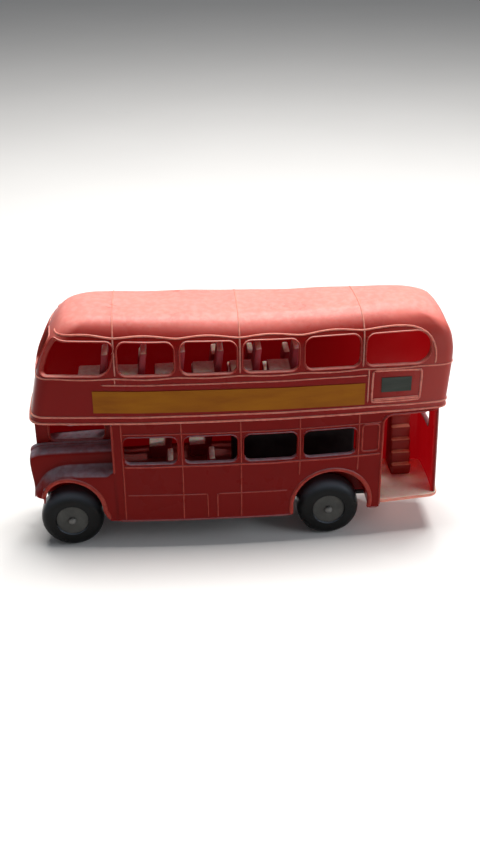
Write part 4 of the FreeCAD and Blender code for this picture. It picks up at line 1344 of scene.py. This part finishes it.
# the lower shell's dust colour is dust and a painted blue-grey sheen of the sky on the bonnet and wing
lower_red = red_plastic("red_plastic", deep=(0.165, 0.003, 0.002), faded_and_lit=(0.18, 0.03, 0.03),
                        edge=(0.42, 0.07, 0.05), dust_and_sheen=(0.34, 0.27, 0.32), dust_and_sheen_amount=1.0, dust_and_sheen_from=0.3,
                        glow_range=(0.07, 0.2), shine=0.07)
inner_red = red_plastic("inner_red_plastic", deep=(0.30, 0.03, 0.04), faded_and_lit=(0.62, 0.25, 0.17),
                        edge=(0.80, 0.52, 0.42), dust_and_sheen=(1.0, 0.86, 0.74), dust_and_sheen_amount=1.0, roughness=0.45,
                        glow=0.5)
deck_red = red_plastic("deck_red_plastic", deep=(0.22, 0.006, 0.006), faded_and_lit=(0.26, 0.02, 0.02),
                       edge=(0.4, 0.1, 0.08), dust_and_sheen=(0.4, 0.2, 0.17), dust_and_sheen_amount=0.2, roughness=0.45)
platform_red = red_plastic("dusty_red_plastic", deep=(0.62, 0.20, 0.14), faded_and_lit=(0.86, 0.52, 0.40),
                           edge=(0.95, 0.70, 0.62), dust_and_sheen=(1.0, 0.86, 0.72), dust_and_sheen_amount=1.0, roughness=0.5,
                           glow=0.5)
stair_red = red_plastic("stair_red_plastic", deep=(0.30, 0.02, 0.015), faded_and_lit=(0.75, 0.20, 0.12),
                        edge=(0.62, 0.14, 0.09), dust_and_sheen=(0.95, 0.45, 0.30), dust_and_sheen_amount=0.8, roughness=0.4)
print("six reds")

# %% Put the two shells in place
make_piece("upper_moulding", upper_moulding, upper_red, ["upper_body"])
make_piece("lower_moulding", lower_moulding, lower_red, ["lower_body"])

# %% [markdown]
# ## Seats, decks and stairs
# Moulded parts have no sharp edges, because the steel they are cast in is ground with a round tool. A
# seat could be modelled with its roundings drawn in, but it is quicker to carry a sharp outline across
# the bus and then give every edge the same small round bevel, as the tool does.

# %% Rounded blocks
def bevelled_prism(outline, low, high, edge, axis="y", painted_light=0.0, sharper_than=20, segments=3):
    """An outline in the other two axes carried straight from low to high, with every edge ground round."""
    outline = np.asarray(outline, float)
    count = len(outline)
    flat, along = np.vstack([outline, outline]), np.repeat([low, high], count)
    order = {"y": (flat[:, 0], along, flat[:, 1]), "x": (along, flat[:, 0], flat[:, 1]),
             "z": (flat[:, 0], flat[:, 1], along)}[axis]
    sides = [tuple(face) for face in grid_faces(2, count, closed=True).tolist()]
    faces = sides + [tuple(range(count))[::-1], tuple(range(count, 2 * count))]
    mesh = bpy.data.meshes.new("prism")
    mesh.from_pydata(np.column_stack(order).tolist(), [], faces)
    work = bmesh.new()
    work.from_mesh(mesh)
    bmesh.ops.recalc_face_normals(work, faces=work.faces)
    ridges = [ridge for ridge in work.edges if ridge.calc_face_angle(0) > math.radians(sharper_than)]
    bmesh.ops.bevel(work, geom=ridges, offset=edge, segments=segments, profile=0.5, affect="EDGES",
                    clamp_overlap=True)
    bmesh.ops.triangulate(work, faces=[face for face in work.faces if len(face.verts) > 4])
    work.to_mesh(mesh)
    work.free()
    points = np.zeros(len(mesh.vertices) * 3)
    mesh.vertices.foreach_get("co", points)
    quads = sorted(tuple(face.vertices) for face in mesh.polygons)      # a bevel lists them in any order
    bpy.data.meshes.remove(mesh)
    return surface(points.reshape(-1, 3), quads, painted_light)


block = bevelled_prism([(0, 0), (9, 0), (9, 9), (0, 9)], 0, 9, 1)
print("a rounded block has", len(block[1]), "faces")

# %% Seats
DECK_TOP, LOWER_DECK_TOP = DECK + 1.4, 28.0
SEAT_IN, SEAT_OUT = 6.2, 16.5                   # a seat's two ends, from the middle of the bus
SEAT_LEAN, SEAT_DEPTH, BACK_THICK, SEAT_ROUND = 7.0, 6.4, 2.6, 0.75


def seat(place, floor, cushion, back):
    """A double seat's side view, carried across it: a back that leans rearwards by 7 degrees over a cushion
    block; cushion and back are heights above the floor."""
    top = floor + back
    slip = math.tan(math.radians(SEAT_LEAN)) * back
    outline = [(place - BACK_THICK, floor), (place + SEAT_DEPTH, floor),
               (place + SEAT_DEPTH, floor + cushion), (place - slip * cushion / back, floor + cushion),
               (place - slip, top), (place - slip - BACK_THICK, top)]
    return bevelled_prism(outline, SEAT_IN, SEAT_OUT, SEAT_ROUND)


def seat_rows(count, first, pitch, floor, near, far):
    """Rows of nearside and offside seats; near and far each give the cushion's and the back's height."""
    rows = first - pitch * np.arange(count)
    return [seat(row, floor, *near) for row in rows] + [mirrored(seat(row, floor, *far)) for row in rows]


upper_seats = seat_rows(6, 55.5, 14.9, DECK_TOP, near=(18.6, 27.6), far=(7.0, 15.5))
lower_seats = seat_rows(2, 30.0, 17.0, LOWER_DECK_TOP, near=(2.5, 12.0), far=(6.0, 24.0))
print(len(upper_seats), "upper seats,", len(lower_seats), "lower seats")

# %% Decks
DECK_REACH = 20                                 # a deck is set out on shares of the half width, 20 to a side


def deck_sheet(rear, front, inset, top, holes):
    """A floor: x along, and across it a share of the half width, so that it follows the bowed sides."""
    def place(x, share):
        """(x, share / 20 * half width, top)"""
        return np.column_stack([x, share / DECK_REACH * side_half(x, inset), np.full_like(x, top)])
    return holed_wall(evenly(rear, front, 1.3), evenly(-DECK_REACH, DECK_REACH, 1.25), place, holes)


stairwell = Opening(-78.6, -59.6, -17.5, -1.0, radius=1.5)
wheel_wells = [Opening(-55.6, -21.2, 6.4, 25.0, radius=0.5), Opening(-55.6, -21.2, -25.0, -6.4, radius=0.5)]
upper_floor = deck_sheet(-82.5, 79.5, WALL + 0.3, DECK_TOP, [stairwell])
lower_floor = deck_sheet(-57.3, 48.7, WALL + LOWER_INSET + 0.3, LOWER_DECK_TOP, wheel_wells)
make_piece("upper_deck_and_seats", join(upper_floor, *upper_seats), inner_red, ["upper_deck"])
make_piece("lower_floor", lower_floor, deck_red, ["lower_deck"])
make_piece("lower_seats", join(*lower_seats), inner_red)

# %% Stairs
def box_of(node):
    """A CAD node's lowest and highest corners, in millimetres."""
    low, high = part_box(node)
    return np.array(low) / MM, np.array(high) / MM


def staircase(steps=8, foot=-1.0, going=1.7, nosing=0.5, tuck=2.2):
    """The steps' outline seen from the rear: a zigzag whose noses stand out and are rounded."""
    rise = (DECK - PLATFORM) / steps
    corners = [(foot, PLATFORM)]
    for step in range(steps):
        nose, level = foot - step * going, PLATFORM + (step + 1) * rise
        corners += [(nose + nosing, level - tuck), (nose + nosing, level), (nose - going, level)]
    corners += [(foot - steps * going, PLATFORM)]
    low, high = box_of("staircase")
    return bevelled_prism(corners, low[0], high[0], 1.1, axis="x")


make_piece("stairs", staircase(), stair_red, ["staircase"])

# %% Platform
PLATE_REAR, PLATE_CORNER, PLATE_THICK = -85.0, 6.0, 1.7


def platform_plate():
    """The lower shell's outline behind the doorway, put in order round the plate, with a rolled edge."""
    x, y = bowed_outline([PLATE_REAR], LOWER_NOSE, LOWER_INSET, PLATE_CORNER, 120, 10, 14)
    outline = np.column_stack([x[0], y[0]])
    outline = outline[outline[:, 0] < DOOR_FRONT - 1.0]
    outline = outline[np.argsort(np.arctan2(outline[:, 1], outline[:, 0] - DOOR_FRONT + 1.0) % (2 * np.pi))]
    front = DOOR_FRONT - 0.05
    outline = np.vstack([outline, [[front, outline[-1, 1]], [front, outline[0, 1]]]])
    return bevelled_prism(outline, PLATFORM - PLATE_THICK, PLATFORM, 0.5, axis="z", painted_light=0.2, sharper_than=50)


make_piece("platform", platform_plate(), platform_red, ["rear_platform"])

# %% [markdown]
# ## Paper labels
# The long strip and the small blind are printed paper, glued on. Paper follows the wall it is stuck to. A
# Shrinkwrap would press a flat sheet onto the shell, facets and all; laid on the shell's own formula, a
# tenth of a millimetre proud, it bends as smoothly as the wall. The print is left blank.

# %% Paper
def paper(name, ink, aged, roughness):
    """Ink that has aged in soft blotches, drawn out along the strip, with fine fibres in its gloss."""
    finish = Finish(name)
    stretched = finish.add("Mapping", {}, {"Vector": finish.place, "Scale": (1.0, 1.0, 5.0)}).outputs[0]
    blotch = finish.noise(45.0, 6.0, 0.65, stretched)
    fibre = finish.noise(1500.0, 2.0)
    return finish.shade(Base_Color=finish.mix(finish.spread(blotch, 0.35, 0.72), ink, aged),
                        Roughness=finish.spread(fibre, 0.0, 1.0, roughness - 0.1, roughness + 0.1),
                        Normal=finish.bump(fibre, 0.15, 0.00005), Specular_IOR_Level=0.1)


yellow_paper = paper("yellow_paper", ink=(0.29, 0.098, 0.002), aged=(0.22, 0.062, 0.002), roughness=0.55)
black_paper = paper("black_paper", ink=(0.030, 0.036, 0.030), aged=(0.05, 0.055, 0.048), roughness=0.5)
print("two papers")

# %% Labels
LABEL_LIFT, LABEL_THICK = 0.14, 0.1


def label(rear, front, low, high, slope=0.0):
    """A sheet over distance along the shell and height, lifted off the wall. It may run downhill:
    z = height + slope * (along - front)."""
    along, up = evenly(front, rear), evenly(low, high)
    grid_along, grid_up = np.meshgrid(along, up)
    grid_up = grid_up + slope * (grid_along - front)
    place, outward = upper_side(grid_along.ravel(), grid_up.ravel())
    faces = grid_faces(len(up), len(along))[:, ::-1]
    return thickened(surface(place + LABEL_LIFT * outward, faces), LABEL_THICK)


strip_label = label(-50.6, 56.5, 64.4, 73.9, slope=0.008)
route_label = label(-69.5, -57.2, 68.5, 74.9)
for side, strip, route in (("nearside", strip_label, route_label),
                           ("offside", mirrored(strip_label), mirrored(route_label))):
    make_piece(f"{side}_strip", strip, yellow_paper, [f"{side}_strip_label"])
    make_piece(f"{side}_route", route, black_paper, [f"{side}_route_label"])

# %% [markdown]
# ## Wheels
# Each wheel is one moulding: a fat tyre with a rounded shoulder and a flat hub sunk in its face.
# Blender's Spin would turn one too, but it can leave its faces inside out. Here a profile of radius
# against distance along the axle is swept once round, and its faces are known to point outwards.

# %% Wheel plastic
# blue-grey on what faces up: dust and a painted sheen of the light above
DUST_AND_SHEEN_ON_BLACK = (0.12, 0.14, 0.17)


def wheel_plastic(name, colour, grey, roughness, dust_and_sheen=0.0):
    """Hard black plastic, clouded with grey; what faces up at rest gets dust and a painted blue-grey sheen.
    """
    finish = Finish(name)
    cloud, grain = finish.noise(160.0, 5.0, 0.6), finish.noise(1400.0, 2.0)
    clouded = finish.mix(finish.spread(cloud, 0.4, 0.75), colour, grey)
    top_share = finish.spread(finish.axis(finish.facing, "Z"), 0.1, 0.95, to_high=dust_and_sheen, smooth=True)
    return finish.shade(Base_Color=finish.mix(top_share, clouded, DUST_AND_SHEEN_ON_BLACK),
                        Roughness=finish.spread(cloud, 0.3, 0.7, roughness * 0.85, roughness * 1.3),
                        Normal=finish.bump(grain, 0.12, 0.00006), Specular_IOR_Level=0.12)


tyre_black = wheel_plastic("tyre_black", (0.003, 0.003, 0.003), (0.006, 0.007, 0.008), 0.30, dust_and_sheen=0.9)
hub_grey = wheel_plastic("hub_grey", (0.055, 0.055, 0.052), (0.085, 0.084, 0.078), 0.5)
print("two wheel plastics")

# %% Wheels
TREAD, FACE = AXLE_HEIGHT, 17.0                 # the tyre's radius, and how far out its face stands
tyre_keys = [(0, 7.5), (11.0, 7.5), (12.4, 7.9), (TREAD, 9.2), (TREAD, 9.6), (TREAD, 13.0), (TREAD, 13.4),
             (12.5, 15.1), (11.2, 16.35), (9.4, 16.95), (7.4, FACE), (7.0, FACE), (6.75, 16.9), (6.68, 16.45),
             (6.6, 16.2), (6.3, 16.05), (0, 16.05)]
hub_keys = [(6.66, 16.1), (6.66, 16.2), (6.5, 16.28), (6.2, 16.3), (3.2, 16.3), (2.4, 16.34), (2.1, 16.3),
            (0, 16.3)]


def swept_round(profile, centre, sign, turns=72):
    """Point = (x + r cos t, sign * y, z + r sin t) for each (r, y) of the profile."""
    radius, y = np.asarray(profile, float).T
    turn = np.linspace(0, 2 * np.pi, turns, endpoint=False)
    across = np.repeat(sign * y[:, None], turns, axis=1)
    points = np.stack([centre[0] + radius[:, None] * np.cos(turn), across,
                       centre[1] + radius[:, None] * np.sin(turn)], axis=-1)
    faces = grid_faces(len(radius), turns, closed=True)
    return surface(points, faces[:, ::-1] if sign < 0 else faces)


# piece, key points, rounds of corner cutting, finish, and the CAD piece it replaces, if it does
wheel_parts = (("tyre", tyre_keys, 2, tyre_black, "wheel"), ("hub", hub_keys, 1, hub_grey, None))
for axle, place in (("front", FRONT_AXLE), ("rear", REAR_AXLE)):
    for side, sign in (("nearside", 1.0), ("offside", -1.0)):
        for part, keys, rounds, finish, replaced in wheel_parts:
            shape = swept_round(smooth_line(keys, rounds), (place, AXLE_HEIGHT), sign)
            make_piece(f"{axle}_{side}_{part}", shape, finish,
                       [f"{axle}_{side}_{replaced}"] if replaced else (), body=f"{axle}_wheelset", crease=35,
                       sagging=False)

# %% [markdown]
# ## Underneath
# The axles are steel pins, and the motor block and the base plate are plain black mouldings. The CAD
# meshes of the pins and the plate are already their real shape, so they are kept and only given a finish;
# the motor block is a new piece, because it shows through the windows and needs its rounded edges.

# %% Axles
def steel():
    """Dull steel with a faint brown bloom of rust, which is also the rougher part."""
    finish = Finish("axle_steel")
    bloom = finish.noise(300.0, 6.0, 0.7)
    colour = finish.mix(finish.spread(bloom, 0.45, 0.8), (0.13, 0.13, 0.125), (0.09, 0.07, 0.055))
    return finish.shade(Base_Color=colour, Roughness=finish.spread(bloom, 0.0, 1.0, 0.3, 0.7), Metallic=0.4)


def refinish(node, material):
    """Gives a CAD piece that stays a new finish."""
    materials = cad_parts[node].data.materials
    materials.clear()
    materials.append(material)


axle_steel = steel()
for name in ("front_axle", "rear_axle"):
    refinish(name, axle_steel)
print("two steel axles")

# %% Motor block and base plate
MOTOR_SLOPE, MOTOR_STEP, MOTOR_ROUND = 5.5, 1.2, 1.0    # its top front corner is cut off, 5.5 by 1.2
black_plastic = wheel_plastic("black_plastic", (0.008, 0.008, 0.009), (0.020, 0.019, 0.018), 0.45)
low, high = box_of("motor_housing")
motor_outline = [(low[0], low[2]), (high[0], low[2]), (high[0], high[2] - MOTOR_STEP),
                 (high[0] - MOTOR_SLOPE, high[2]), (low[0], high[2])]
make_piece("motor_block", bevelled_prism(motor_outline, low[1], high[1], MOTOR_ROUND), black_plastic,
           ["motor_housing"])
refinish("base_plate", black_plastic)
print("motor block and base plate")
